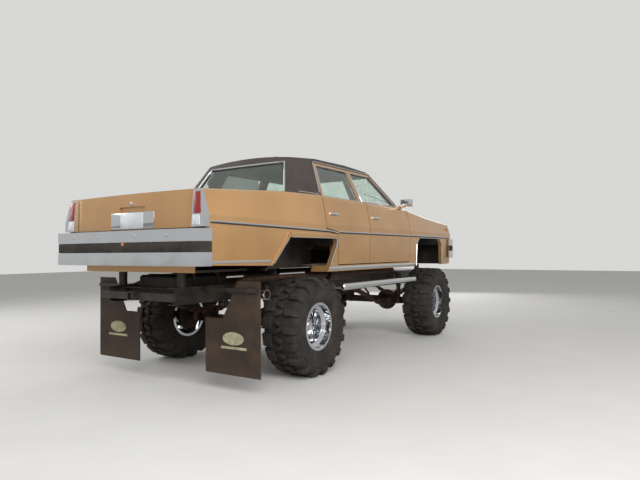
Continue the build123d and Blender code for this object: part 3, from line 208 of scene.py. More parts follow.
# %% [markdown]
# ## Bright metal
#
# Chrome plate is a mirror that decades outdoors have dulled in patches. A perfect mirror would
# look new, so a noise moves the roughness between polished and hazed over a pale cold grey.

# %% Chrome plate
HAZE_MM = 200.0

plating, tree, shader, place = new_finish("chrome_plate", Metallic=1.0)
haze = add_node(tree, "ShaderNodeTexNoise", {
    "Vector": place, "Scale": scale_of(HAZE_MM), "Detail": 3.0})
hazed(tree, shader, haze.outputs["Fac"], 0.07, 0.17, start=0.35, end=0.75)
two_tone(tree, shader, haze.outputs["Fac"], "#C9CBCE", "#C1C3C6")
FINISH["chrome"] = plating
print("chrome with hazed patches of", HAZE_MM, "mm")

# %% [markdown]
# ## Glass and lamps
#
# The windows are lightly tinted safety glass under a thin film of dust. The lamps are moulded
# acrylic, red at the tail and amber at the corners. Their level ribs are too fine to model one by
# one, so a wave pattern every 6 mm bumps the surface.

# %% Glass, clear and coloured
FILM_MM = 1000 / 3  # a third of a metre
LENS_RIB_MM = 6.0
WAVE_PERIOD = 0.31  # metres in which a wave texture repeats at a scale of 1

pane, tree, shader, place = new_finish(
    "tinted_glass", Roughness=0.02, IOR=1.45, Transmission_Weight=0.92)
film = add_node(tree, "ShaderNodeTexNoise", {
    "Vector": place, "Scale": scale_of(FILM_MM), "Detail": 4.0})
two_tone(tree, shader, film.outputs["Fac"], "#A9B5AE", "#C6CFC9")
FINISH["clear_glass"] = pane


def acrylic(name, dark, light):
    finish, tree, shader, place = new_finish(
        name, Roughness=0.12, IOR=1.49, Transmission_Weight=0.25, Coat_Weight=0.5)
    ribs = add_node(tree, "ShaderNodeTexWave", {
        "Vector": place, "Scale": WAVE_PERIOD * scale_of(LENS_RIB_MM)}, bands_direction="Z")
    two_tone(tree, shader, ribs.outputs["Fac"], dark, light)
    bumped(tree, shader, ribs.outputs["Fac"], 0.8)
    return finish


FINISH["lamp_lens"] = acrylic("red_acrylic", "#6E0D10", "#A81A1C")
print("lens ribs every", LENS_RIB_MM, "mm")

# %% [markdown]
# ## Rubber
#
# Tyre rubber is never black: its sidewalls bloom grey-brown, and dust lies on it in patches. The
# mud flaps are the same kind of rubber in sheets, with broader patches of road dirt, so one recipe
# with its own colours and patch size serves both.

# %% Tyre and flap rubber
PORE_MM = 3.125


def road_rubber(name, dark, light, dirt_mm):
    """Matt rubber with fine pores and patches of dirt."""
    finish, tree, shader, place = new_finish(name, Roughness=0.82, Specular_IOR_Level=0.35)
    dirt = add_node(tree, "ShaderNodeTexNoise", {
        "Vector": place, "Scale": scale_of(dirt_mm), "Detail": 9.0, "Roughness": 0.65})
    pores = add_node(tree, "ShaderNodeTexNoise", {
        "Vector": place, "Scale": scale_of(PORE_MM), "Detail": 3.0})
    patches = add_node(tree, "ShaderNodeMapRange", {
        "Value": dirt.outputs["Fac"], "From Min": 0.35, "From Max": 0.7})
    two_tone(tree, shader, patches.outputs[0], dark, light)
    bumped(tree, shader, pores.outputs["Fac"], 0.5)
    return finish


FINISH["tyre_rubber"] = road_rubber("tyre_rubber", "#1B1A19", "#3A342E", 1000 / 7)
FINISH["flap_rubber"] = road_rubber("flap_rubber", "#2A221D", "#4B3A2D", 1000 / 3)
print("rubber with pores of", PORE_MM, "mm")

# %% [markdown]
# ## Chassis metals
#
# The frame and crossmembers wear black enamel with a film of brown road dust. The axles are cast
# iron under flaking paint, and the springs and shafts are plain steel that has started to rust.
# All three are a dark metal with paler, rougher spots, so they come from one table.

# %% Enamel, iron and steel
def dusty_metal(name, dark, light, metallic, low_rough, high_rough, spot_mm):
    """Metal whose spots of dust or rust are paler and rougher."""
    finish, tree, shader, place = new_finish(name, Metallic=metallic)
    spots = add_node(tree, "ShaderNodeTexNoise", {
        "Vector": place, "Scale": scale_of(spot_mm), "Detail": 10.0, "Roughness": 0.6})
    patches = add_node(tree, "ShaderNodeMapRange", {
        "Value": spots.outputs["Fac"], "From Min": 0.38, "From Max": 0.68})
    two_tone(tree, shader, patches.outputs[0], dark, light)
    hazed(tree, shader, spots.outputs["Fac"], low_rough, high_rough)
    bumped(tree, shader, spots.outputs["Fac"], 0.7)
    return finish


METALS = [  # slot, name, dark, light, metallic, low and high roughness, spots in mm
    ("frame_black", "black_enamel", "#131313", "#3B3026", 0.0, 0.3, 0.8, 160.0),
    ("axle_iron", "cast_iron", "#1E1C1B", "#4C3526", 0.35, 0.5, 0.9, 60.0),
    ("spring_steel", "spring_steel", "#2E2C2B", "#6A4A33", 0.7, 0.4, 0.85, 45.0)]
for slot, *row in METALS:
    FINISH[slot] = dusty_metal(*row)
print("chassis metals:", len(METALS))

# %% [markdown]
# ## Cabin trim
#
# The benches are covered in brown velour, whose pile catches light at the edges, so it has sheen.
# Rubbed patches lie over the pile. The dashboard is moulded vinyl with a fine grain, worn in
# patches too.

# %% Velour
PILE_MM = 1.6
RUBBED_MM = 1000 / 9

velour, tree, shader, place = new_finish(
    "velour", Roughness=0.9, Sheen_Weight=0.5, Sheen_Roughness=0.4)
pile = add_node(tree, "ShaderNodeTexNoise", {
    "Vector": place, "Scale": scale_of(PILE_MM), "Detail": 2.0})
rubbed = add_node(tree, "ShaderNodeTexNoise", {
    "Vector": place, "Scale": scale_of(RUBBED_MM), "Detail": 4.0})
both = add_node(tree, "ShaderNodeMath", {0: pile.outputs["Fac"], 1: rubbed.outputs["Fac"]},
                operation="MULTIPLY")
wide = add_node(tree, "ShaderNodeMapRange", {
    "Value": both.outputs[0], "From Min": 0.1, "From Max": 0.4})
two_tone(tree, shader, wide.outputs[0], "#3F2A1D", "#6B4B34")
bumped(tree, shader, pile.outputs["Fac"], 0.6)
FINISH["seat_cloth"] = velour
print("velour with a pile of", PILE_MM, "mm")

# %% Dashboard vinyl
DASH_GRAIN_MM = 2.5
WEAR_MM = 1000 / 12

moulded, tree, shader, place = new_finish("moulded_vinyl", Roughness=0.55)
grain = add_node(tree, "ShaderNodeTexVoronoi", {
    "Vector": place, "Scale": scale_of(DASH_GRAIN_MM)})
wear = add_node(tree, "ShaderNodeTexNoise", {
    "Vector": place, "Scale": scale_of(WEAR_MM), "Detail": 5.0})
two_tone(tree, shader, wear.outputs["Fac"], "#2E2119", "#453428")
bumped(tree, shader, grain.outputs["Distance"], 0.3)
FINISH["dash_plastic"] = moulded
print("dashboard with a grain of", DASH_GRAIN_MM, "mm")

# %% Give each node the finish of its slot
for obj in nodes.values():
    slot = obj.data.materials[0].name
    obj.data.materials.clear()
    obj.data.materials.append(FINISH[slot])
print("finishes:", len(FINISH))

# %% [markdown]
# ## A small kit for shapes
#
# Every piece below is drawn with the same few moves. A line is one vertex extruded from point to
# point. A ribbon is that line extruded sideways and thickened, a bead is the line with a round
# section, and a band bridges two lines. The last step of each piece puts its place into its mesh,
# turns its faces outwards, gives it its finish and says which body carries it.

# %% Choosing, joining and finishing
def only(*chosen):
    """Leaves edit mode and selects just these objects, the last of them active."""
    if bpy.context.object and bpy.context.object.mode != "OBJECT":
        bpy.ops.object.mode_set(mode="OBJECT")
    bpy.ops.object.select_all(action="DESELECT")
    for obj in chosen:
        obj.select_set(True)
        bpy.context.view_layer.objects.active = obj


def finished(obj, name, slot, body="root", smooth=35, finish=None):
    """The last step of each piece, with edges under smooth degrees shaded soft."""
    only(obj)
    bpy.ops.object.transform_apply(location=True, rotation=True, scale=True)
    obj.name = obj.data.name = name
    bpy.ops.object.mode_set(mode="EDIT")
    bpy.ops.mesh.select_all(action="SELECT")
    bpy.ops.mesh.remove_doubles(threshold=0.05 * MM)
    bpy.ops.mesh.normals_make_consistent(inside=False)
    only(obj)
    bpy.ops.object.shade_smooth_by_angle(angle=radians(smooth))
    obj.data.materials.clear()
    obj.data.materials.append(finish or FINISH[slot])
    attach(obj, body)
    return obj


def joined(*parts):
    only(*parts)
    bpy.ops.object.join()
    return bpy.context.object


def rounded(obj, width, segments=2):
    """Bevels every edge, unless the width is nothing."""
    if width:
        bevel = obj.modifiers.new("Bevel", "BEVEL")
        bevel.width, bevel.segments = width, segments
        only(obj)
        bpy.ops.object.modifier_apply(modifier="Bevel")
    return obj


def thickened(obj, thick, width):
    wall = obj.modifiers.new("Solidify", "SOLIDIFY")
    wall.thickness, wall.offset = thick, 0
    only(obj)
    bpy.ops.object.modifier_apply(modifier="Solidify")
    return rounded(obj, width)


print("finishing kit ready, for slots", sorted(FINISH))

# %% Blocks, rods and sleeves
TURN = {"X": (0, pi / 2, 0), "Y": (pi / 2, 0, 0)}  # across the car, along it


def block(low, high, width):
    """A box between two corners, its edges rounded by width."""
    only()
    middle = [(a + b) / 2 for a, b in zip(low, high)]
    bpy.ops.mesh.primitive_cube_add(size=1, location=middle)
    obj = bpy.context.object
    obj.scale = [abs(b - a) for a, b in zip(low, high)]
    bpy.ops.object.transform_apply(location=True, rotation=True, scale=True)
    return rounded(obj, width)


def rod(place, radius, length, axis, sides, width=0.0):
    """A solid cylinder along an axis."""
    only()
    bpy.ops.mesh.primitive_cylinder_add(vertices=sides, radius=radius, depth=length,
                                        location=place, rotation=TURN[axis])
    bpy.ops.object.transform_apply(location=True, rotation=True, scale=True)
    return rounded(bpy.context.object, width)


def sleeve(place, radius, length, axis, thick):
    """An open cylinder along an axis, with a wall."""
    only()
    bpy.ops.mesh.primitive_cylinder_add(vertices=40, radius=radius, depth=length,
                                        end_fill_type="NOTHING", location=place,
                                        rotation=TURN[axis])
    bpy.ops.object.transform_apply(location=True, rotation=True, scale=True)
    return thickened(bpy.context.object, thick, 0.0)


print("axes for rods and sleeves:", *TURN)

# %% Lines, ribbons, beads, bands and plates
SOFT_EDGE = 0.0015


def line(points, closed=False):
    """A chain of edges, left in edit mode: a plane merged to one vertex and extruded along."""
    only()
    bpy.ops.mesh.primitive_plane_add(size=MM, location=(0, 0, 0))
    bpy.ops.object.mode_set(mode="EDIT")
    bpy.ops.mesh.merge(type="CENTER")
    bpy.ops.transform.translate(value=points[0])
    run = list(points) + ([points[0]] if closed else [])
    for here, there in zip(run, run[1:]):
        step = Vector(there) - Vector(here)
        bpy.ops.mesh.extrude_vertices_move(TRANSFORM_OT_translate={"value": step})
    bpy.ops.mesh.select_all(action="SELECT")
    bpy.ops.mesh.remove_doubles(threshold=0.01 * MM)
    return bpy.context.object


def ribbon(points, across, thick, width=SOFT_EDGE):
    """A line extruded across by a vector, with a thickness."""
    obj = line(points)
    bpy.ops.mesh.extrude_region_move(TRANSFORM_OT_translate={"value": across})
    return thickened(obj, thick, width)


def bead(points, radius, closed=False):
    """A line made a curve with a round section, and then a mesh again."""
    only(line(points, closed))
    bpy.ops.object.convert(target="CURVE")
    curve = bpy.context.object.data
    curve.bevel_depth, curve.bevel_resolution, curve.use_fill_caps = radius, 2, True
    bpy.ops.object.convert(target="MESH")
    return bpy.context.object


def band(inner, outer, thick, width):
    """The strip between two lines, with a thickness."""
    obj = joined(line(inner), line(outer))
    bpy.ops.object.mode_set(mode="EDIT")
    bpy.ops.mesh.select_all(action="SELECT")
    bpy.ops.mesh.bridge_edge_loops()
    return thickened(obj, thick, width)


def plate(points, push, width):
    """A flat outline filled and pushed out by a vector."""
    obj = line(points, closed=True)
    bpy.ops.mesh.edge_face_add()
    bpy.ops.mesh.extrude_region_move(TRANSFORM_OT_translate={"value": push})
    return rounded(obj, width)


print("soft edges of", SOFT_EDGE / MM, "mm")

# %% [markdown]
# ## Reading the panels
#
# Trim lies on curved panels. Its points could be typed in, but they would float or sink wherever
# the panel bends, so each point asks the panel how far out it stands there. A ray from beside the
# car gives that distance, and a point that falls in a gap keeps the last answer.

# %% Points on the skin
LEFT, RIGHT = 1, -1
SIDES = ((LEFT, "left"), (RIGHT, "right"))
bpy.context.view_layer.update()


def met(node, rays, axis):
    """How far along an axis each ray, given as a start and an aim, meets a node."""
    found = []
    for start, aim in rays:
        hit, spot, _, _ = nodes[node].ray_cast(start, aim)
        found.append(spot[axis] if hit else None)
    last = next(value for value in found if value is not None)
    for k, value in enumerate(found):
        last = found[k] = last if value is None else value
    return found


def on_side(node, run, side, out=0.003):
    """The run's (y, z) points, laid on the outside of a node and moved out a little."""
    reach = met(node, [((side * 2, y, z), (-side, 0, 0)) for y, z in run], 0)
    return [Vector((side * (abs(x) + out), y, z)) for x, (y, z) in zip(reach, run)]


def on_end(node, run, end, out):
    """The run's (x, z) points, laid on the front (-1) or the rear (1) of a node."""
    reach = met(node, [((x, end * 4, z), (0, -end, 0)) for x, z in run], 1)
    return [Vector((x, y + end * out, z)) for y, (x, z) in zip(reach, run)]


print("rocker stands out:", round(on_side("side_frames", [(0.0, 1.03)], LEFT)[0].x, 3), "m")

# %% Runs of points
EASE_STEPS = 5
FILL_STEP = 0.06


def spread(start, end, step=0.09):
    """Evenly spaced values from start to end, about a step apart."""
    count = max(1, round(abs(end - start) / step))
    return [start + (end - start) * k / count for k in range(count + 1)]


def eased(corners, reach):
    """A run of corners whose inner corners are turned into short curves."""
    run = [Vector(corners[0])]
    for a, b, c in zip(corners, corners[1:], corners[2:]):
        a, b, c = Vector(a), Vector(b), Vector(c)
        start, end = b + (a - b).normalized() * reach, b + (c - b).normalized() * reach
        for k in range(EASE_STEPS + 1):
            t = k / EASE_STEPS
            run.append(start.lerp(b, t).lerp(b.lerp(end, t), t))
    return run + [Vector(corners[-1])]


def filled(run):
    """The same run with points added along its long stretches."""
    dense = []
    for a, b in zip(run, run[1:]):
        a, b = Vector(a), Vector(b)
        count = max(1, round((b - a).length / FILL_STEP))
        dense += [a.lerp(b, k / count) for k in range(count)]
    return dense + [Vector(run[-1])]


def around(outline):
    """A closed outline with points added, its first point not repeated at the end."""
    return filled(outline + outline[:1])[:-1]


print("a metre in steps of 0.09 m has", len(spread(0.0, 1.0)), "points")

# %% [markdown]
# ## Tyres
#
# The mud tyre is a plain carcass with big rubber blocks on it. A bump pattern would leave its
# outline smooth, so the blocks are real. The cross-section is drawn once and spun about the axle.
# One shoulder block and one middle block are drawn at the top of the tyre, then spun as copies, 18
# to a turn. The other half's blocks sit half a pitch later, which gives the staggered bite, and its
# shoulder blocks are shorter.

# %% Sizes of the tyre
AXLE_Z = 0.4825
WHEEL_X = 0.900
WHEEL_Y = {"front": -1.796, "rear": 1.290}
WHEELS = [(f"{end}_{hand}", side, y) for end, y in WHEEL_Y.items() for side, hand in SIDES]
LUGS = 18
CARCASS = [  # offset from the tyre's middle, radius
    (0.150, 0.222), (0.160, 0.236), (0.168, 0.240), (0.180, 0.262), (0.184, 0.266),
    (0.190, 0.300), (0.191, 0.345), (0.190, 0.372), (0.193, 0.376), (0.192, 0.384),
    (0.188, 0.388), (0.184, 0.412), (0.172, 0.436), (0.150, 0.448), (0.075, 0.4525),
    (0.0, 0.4525)]
SHOULDER = [  # one shoulder block seen along the tread
    (0.066, 0.445), (0.066, 0.4808), (0.150, 0.4803), (0.178, 0.466), (0.197, 0.430),
    (0.198, 0.408), (0.186, 0.398), (0.170, 0.430)]
SHOULDER_LONG = {1: 0.112, -1: 0.064}  # along the tread, on the +X and the -X half
SHOULDER_START = 0.044
MIDDLE_SPAN = (-0.050, 0.034)
MIDDLE_HALF, MIDDLE_TURN = 0.021, 0.42
BLOCK_FOOT, BLOCK_TOP = 0.445, 0.4812
print("radius over the blocks:", BLOCK_TOP, "m")


# %% One block of each kind, and its copies
def turned_copies(obj, centre, count):
    """The mesh and its copies, evenly all round the axle."""
    only(obj)
    bpy.ops.object.mode_set(mode="EDIT")
    bpy.ops.mesh.select_all(action="SELECT")
    bpy.ops.mesh.spin(steps=count - 1, dupli=True, angle=2 * pi * (count - 1) / count,
                      center=centre, axis=(1, 0, 0))
    only(obj)
    return obj


def turn_about(obj, angle, centre, axis="X"):
    only(obj)
    bpy.ops.transform.rotate(value=angle, orient_axis=axis, center_override=centre)
    bpy.ops.object.transform_apply(location=True, rotation=True, scale=True)


def shoulder_block(centre, hand):
    """A block over one shoulder, its section pushed along the tread."""
    x, y, z = centre
    points = [(x + hand * a, y - SHOULDER_START, z + r) for a, r in SHOULDER]
    return rounded(plate(points, (0, SHOULDER_LONG[hand], 0), 0.0), 0.005, 1)


def middle_block(centre, hand):
    """A small block near the tread's middle, turned to one side."""
    x, y, z = centre
    obj = block((x + MIDDLE_SPAN[0], y - MIDDLE_HALF, z + BLOCK_FOOT),
                (x + MIDDLE_SPAN[1], y + MIDDLE_HALF, z + BLOCK_TOP), 0.004)
    turn_about(obj, hand * MIDDLE_TURN, centre, "Z")
    return obj


print("blocks on a tyre:", 4 * LUGS)


# %% Spin the carcass, then its blocks
def tyre(centre):
    """A carcass spun round the axle, with two rings of blocks on each half of its tread."""
    x, y, z = centre
    ring = CARCASS + [(-a, r) for a, r in reversed(CARCASS[:-1])]
    carcass = line([(x + a, y, z + r) for a, r in ring])
    bpy.ops.mesh.spin(steps=72, angle=2 * pi, center=centre, axis=(1, 0, 0))
    bpy.ops.mesh.select_all(action="SELECT")
    bpy.ops.mesh.remove_doubles(threshold=0.2 * MM)
    parts = [carcass]
    for hand in (1, -1):
        for lug in (shoulder_block(centre, hand), middle_block(centre, hand)):
            if hand < 0:
                turn_about(lug, pi / LUGS, centre)
            parts.append(turned_copies(lug, centre, LUGS))
    return joined(*parts)


for wheel, side, y in WHEELS:
    obj = finished(tyre((side * WHEEL_X, y, AXLE_Z)), f"mud_tyre_{wheel}", "tyre_rubber",
                   f"{wheel}_wheel", smooth=28)
    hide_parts(f"tyre_{wheel}")
print("triangles of a tyre:", sum(len(face.vertices) - 2 for face in obj.data.polygons))

# %% [markdown]
# ## Wheel nuts and valves
#
# The deep steel wheels are plated. Eight hexagon nuts with turned tips hold each one, and a rubber
# valve stands near the lip.

# %% Dress the wheels
NUTS, NUT_PITCH, NUT_X = 8, 0.0825, 0.877
NUT_RADIUS, NUT_LONG = 0.0125, 0.022
TIP_OUT, TIP_RADIUS, TIP_LONG = 0.012, 0.007, 0.012
VALVE_X, VALVE_UP, VALVE_RADIUS, VALVE_LONG = 0.905, 0.190, 0.004, 0.045

for wheel, side, y in WHEELS:
    top = AXLE_Z + NUT_PITCH
    nut = rod((side * NUT_X, y, top), NUT_RADIUS, NUT_LONG, "X", 6, 0.0015)
    tip = rod((side * (NUT_X + TIP_OUT), y, top), TIP_RADIUS, TIP_LONG, "X", 12, 0.002)
    nuts = turned_copies(joined(nut, tip), (side * WHEEL_X, y, AXLE_Z), NUTS)
    finished(nuts, f"wheel_nuts_{wheel}", "chrome", f"{wheel}_wheel")
    spot = (side * VALVE_X, y, AXLE_Z + VALVE_UP)
    valve = rod(spot, VALVE_RADIUS, VALVE_LONG, "X", 12, 0.001)
    finished(valve, f"valve_{wheel}", "tyre_rubber", f"{wheel}_wheel")
print("nuts:", NUTS, "on a radius of", NUT_PITCH, "m")

# %% [markdown]
# ## Side trim
#
# A bright moulding with a dark rubber strip under it runs along the crease from nose to tail. It
# rises towards the tail, as the photograph shows. Each door carries its own length, because one
# long strip would tear when a door opens. Bright caps follow the lower edges. A wide painted flare
# goes over the rear wheel opening, with a bright lip at its edge.

# %% Mouldings by panel
SIDE_PANELS = [  # part, node, body, front and rear ends of the trim
    ("wing", "wings", "root", -2.670, -1.090),
    ("front_door", "door_front_{}", "front_{}_door", -1.056, 0.044),
    ("rear_door", "door_rear_{}", "rear_{}_door", 0.076, 0.752),
    ("quarter", "quarters", "root", 0.778, 2.630)]
LEVEL_Z = 1.419
QUARTER_RISE = [(0.600, LEVEL_Z, 0.0175), (0.770, 1.404, 0.130)]  # from y, height there, slope
BRIGHT_DROP, BRIGHT_TALL, BRIGHT_THICK = 0.006, 0.013, 0.008
RUBBER_DROP, RUBBER_TALL, RUBBER_THICK, RUBBER_OUT = 0.012, 0.011, 0.006, 0.002


def moulding_z(part, y):
    """Height of the moulding, level as far as the doors go and rising on the quarter panel."""
    if part != "quarter":
        return LEVEL_Z
    return min(z + (y - start) * slope for start, z, slope in QUARTER_RISE)


for side, hand in SIDES:
    for part, node, body, start, end in SIDE_PANELS:
        node, body = node.format(hand), body.format(hand)
        foot = [(y, moulding_z(part, y) - BRIGHT_DROP) for y in spread(start, end)]
        strip = ribbon(on_side(node, foot, side), (0, 0, BRIGHT_TALL), BRIGHT_THICK)
        finished(strip, f"moulding_{part}_{hand}", "chrome", body)
        foot = [(y, z - RUBBER_DROP) for y, z in foot]
        run = on_side(node, foot, side, RUBBER_OUT)
        strip = ribbon(run, (0, 0, RUBBER_TALL), RUBBER_THICK)
        finished(strip, f"rub_strip_{part}_{hand}", "tyre_rubber", body)
print("panels with a moulding:", len(SIDE_PANELS), "a side")

# %% Caps on the lower edges, flares and lips
CAPS = [  # name, node, foot, height, front and rear ends
    ("rocker_cap", "side_frames", 1.010, 0.040, -1.070, 0.940),
    ("quarter_cap", "quarters", 1.118, 0.020, 1.900, 2.630),
    ("wing_cap", "wings", 1.010, 0.040, -1.262, -1.090)]
FLARE_IN = [(0.930, 1.068), (0.792, 1.290), (0.810, 1.350), (1.620, 1.350), (1.665, 1.310),
            (1.846, 1.104)]
FLARE_OUT = [(0.912, 1.068), (0.781, 1.285), (0.783, 1.394), (1.645, 1.406), (1.700, 1.325),
             (1.872, 1.104)]
FRONT_LIP = [(-2.318, 1.012), (-2.290, 1.320), (-2.200, 1.395), (-1.400, 1.395),
             (-1.315, 1.320), (-1.279, 1.012)]
CAP_THICK, FLARE_THICK, FLARE_EDGE = 0.006, 0.012, 0.004
FLARE_CURVE, LIP_CURVE = 0.030, 0.035  # how far from a corner its curve starts
REAR_LIP_RADIUS, FRONT_LIP_RADIUS = 0.007, 0.006

for side, hand in SIDES:
    for name, node, foot, tall, start, end in CAPS:
        run = on_side(node, [(y, foot) for y in spread(start, end)], side)
        finished(ribbon(run, (0, 0, tall), CAP_THICK), f"{name}_{hand}", "chrome")
    inner = on_side("quarters", eased(FLARE_IN, FLARE_CURVE), side, 0.002)
    outer = on_side("quarters", eased(FLARE_OUT, FLARE_CURVE), side, 0.002)
    flare = band(inner, outer, FLARE_THICK, FLARE_EDGE)
    finished(flare, f"rear_arch_flare_{hand}", "body_paint")
    finished(bead(inner, REAR_LIP_RADIUS), f"rear_arch_lip_{hand}", "chrome")
    run = on_side("wings", filled(eased(FRONT_LIP, LIP_CURVE)), side, 0.0)
    finished(bead(run, FRONT_LIP_RADIUS), f"front_arch_lip_{hand}", "chrome")
print("wheel openings' tops at z", FLARE_IN[2][1], "and", FRONT_LIP[2][1])

# %% [markdown]
# ## Window surrounds
#
# Each door window has a thin bright frame, and a drip rail follows the roof's edge above the doors.
# The windscreen and the backlight sit in wider reveal mouldings. All of these are thin bent metal
# with a round edge, so a bead laid on the panel gives the right gleam with few faces.

# %% Frames, drip rails and reveals
DOOR_WINDOWS = {
    "front": [(-0.884, 1.797), (0.025, 1.797), (0.025, 2.158), (-0.480, 2.158)],
    "rear": [(0.089, 1.797), (0.867, 1.797), (0.750, 2.158), (0.089, 2.158)]}
RAIL = [(-0.985, 1.790), (-0.505, 2.198), (0.786, 2.198), (0.925, 1.800)]
REVEALS = [  # name, end of the car, outline
    ("windscreen", -1, [(-0.742, 1.798), (0.742, 1.798), (0.574, 2.174), (-0.574, 2.174)]),
    ("backlight", 1, [(-0.667, 1.816), (0.667, 1.816), (0.524, 2.161), (-0.524, 2.161)])]
FRAME_RADIUS, RAIL_RADIUS, REVEAL_RADIUS = 0.007, 0.008, 0.011

for side, hand in SIDES:
    for end, outline in DOOR_WINDOWS.items():
        run = on_side(f"door_{end}_{hand}", around(outline), side, 0.0)
        finished(bead(run, FRAME_RADIUS, closed=True), f"window_frame_{end}_{hand}", "chrome",
                 f"{end}_{hand}_door")
    rail = on_side("roof", filled(eased(RAIL, 0.03)), side, 0.004)
    finished(bead(rail, RAIL_RADIUS), f"drip_rail_{hand}", "chrome")
for name, end, outline in REVEALS:
    run = on_end("roof", around(outline), end, 0.002)
    finished(bead(run, REVEAL_RADIUS, closed=True), f"{name}_reveal", "chrome")
print("drip rail's top at z", RAIL[1][1])

# %% [markdown]
# ## Handles, mirrors and locks
#
# The door handles and mirrors are the panels' own solids in the frame. Plated covers of the same
# shape and about 2 mm larger give them their bright finish, and each handle gets a lock under it.

# %% Plated covers
HANDLES = {"front": (-0.198, -0.048), "rear": (0.750, 0.900)}  # ends of each door's handle
PULL_X, PULL_Z, COVER = (0.935, 0.964), (1.593, 1.619), 0.002
LOCK_IN, LOCK_Z = 0.020, 1.560

for side, hand in SIDES:
    for end, (low, high) in HANDLES.items():
        body = f"{end}_{hand}_door"
        pull = block((side * PULL_X[0], low - COVER, PULL_Z[0]),
                     (side * PULL_X[1], high + COVER, PULL_Z[1]), SOFT_EDGE)
        finished(pull, f"door_pull_{end}_{hand}", "chrome", body)
        spot = on_side(f"door_{end}_{hand}", [(low + LOCK_IN, LOCK_Z)], side, 0.001)[0]
        lock = rod(spot, 0.012, 0.006, "X", 20, 0.0015)
        finished(lock, f"door_lock_{end}_{hand}", "chrome", body)
    body = f"front_{hand}_door"
    shell = block((side * 0.908, -0.957, 1.7925), (side * 1.062, -0.903, 1.8915), 0.003)
    finished(shell, f"mirror_shell_{hand}", "chrome", body)
    glass = block((side * 0.922, -0.9035, 1.805), (side * 1.048, -0.9005, 1.879), 0.001)
    finished(glass, f"mirror_glass_{hand}", "chrome", body)
print("handles and locks:", len(SIDES) * len(HANDLES))

# %% [markdown]
# ## The tail
#
# The bumper's groove holds a rubber strip, and small round bolts hold the bumper. Upright lamps
# with plated housings close the wings' ends, each with a red lens above a pale reversing lens. A
# bright panel with a blank plate sits low on the boot lid under its lock, and one small amber lamp
# is on the bumper.

# %% Bumper strips, bolts and the amber lamp
GROOVE_Z, GROOVE_OUT = 1.209, 0.0085
WRAP = {1: 2.640, -1: 2.570}  # how far the strip comes round the rear and the front corners
FLAT_HALF = 0.430  # half the width of a bumper's flat middle
STRIP_TALL, STRIP_THICK = 0.086, 0.010
BOLTS_X, BOLT_Z = (-0.62, -0.24, 0.24, 0.62), 1.345
FLAT_FACE, SIDE_FACE = 2.8095, 2.8000  # how far out a bolt's middle is
AMBER = acrylic("amber_acrylic", "#B4520F", "#F08A24")


def groove_run(end):
    """The line of a bumper's groove from one side round to the other."""
    side_x = 0.962 - GROOVE_OUT
    half = [(side_x, WRAP[end]), (side_x, 2.735),
            (0.892 - GROOVE_OUT / 2, 2.788 - GROOVE_OUT), (FLAT_HALF, 2.810 - GROOVE_OUT)]
    ring = half + [(-x, y) for x, y in reversed(half)]
    return [(x, end * y, GROOVE_Z) for x, y in ring]


for end, name in ((1, "rear"), (-1, "front")):
    strip = ribbon(groove_run(end), (0, 0, STRIP_TALL), STRIP_THICK, width=0.003)
    finished(strip, f"bumper_strip_{name}", "tyre_rubber")
    for k, x in enumerate(BOLTS_X, 1):
        face = FLAT_FACE if abs(x) < FLAT_HALF else SIDE_FACE
        bolt = rod((x, end * face, BOLT_Z), 0.014, 0.006, "Y", 20, 0.0015)
        finished(bolt, f"bumper_bolt_{name}_{k}", "chrome")
amber = rod((-0.09, 2.8085, 1.278), 0.015, 0.006, "Y", 24, 0.0015)
finished(amber, "amber_marker", "lamp_lens", finish=AMBER)
print("bumper bolts:", len(BOLTS_X), "on each bumper")

# %% Tail lenses
CLEAR = acrylic("frosted_acrylic", "#C9CDD0", "#E9ECEE")
TAIL_LENSES = [  # part, foot, top, finish
    ("red", 1.515, 1.690, FINISH["lamp_lens"]),
    ("clear", 1.425, 1.505, CLEAR)]
LENS_SINK, LENS_THICK = -0.002, 0.007

nodes["tail_lamps"].data.materials[0] = FINISH["chrome"]
for side, hand in SIDES:
    for part, low, high, finish in TAIL_LENSES:
        outline = ((0.800, low), (0.885, low), (0.868, high), (0.800, high))
        spots = on_end("tail_lamps", [(side * x, z) for x, z in outline], 1, LENS_SINK)
        lens = plate(spots, (0, LENS_THICK, 0), 0.003)
        finished(lens, f"tail_lens_{part}_{hand}", "lamp_lens", finish=finish)
print("tail lenses:", len(SIDES) * len(TAIL_LENSES))

# %% Plate panel, plate and lid lock
panel = block((-0.290, 2.6445, 1.414), (0.290, 2.6490, 1.560), 0.002)
finished(panel, "plate_panel", "chrome", "boot_lid")
blank = block((-0.1525, 2.6485, 1.418), (0.1525, 2.6510, 1.556), 0.001)
finished(blank, "blank_plate", "lamp_lens", "boot_lid", finish=CLEAR)
spot = on_end("trunk_lid", [(0.0, 1.635)], 1, 0.002)[0]
finished(rod(spot, 0.019, 0.010, "Y", 28, 0.003), "lid_lock", "chrome", "boot_lid")
print("lid lock at z", round(spot.z, 3))

# %% [markdown]
# ## Mud flaps
#
# Each flap has a plain pale oval and a bar printed on it, and a steel strip clamps its top to the
# arm.

# %% Flap ovals, bars and clamps
FADED_PRINT = road_rubber("faded_print", "#85836A", "#B3B08F", 1000 / 14)
OVAL_X, OVAL_Y, OVAL_Z = 0.780, 2.2105, 0.465
OVAL_RADIUS, OVAL_FLATNESS = 0.120, 0.46
CLAMP_BOLTS_X = (0.870, 0.948, 1.026)

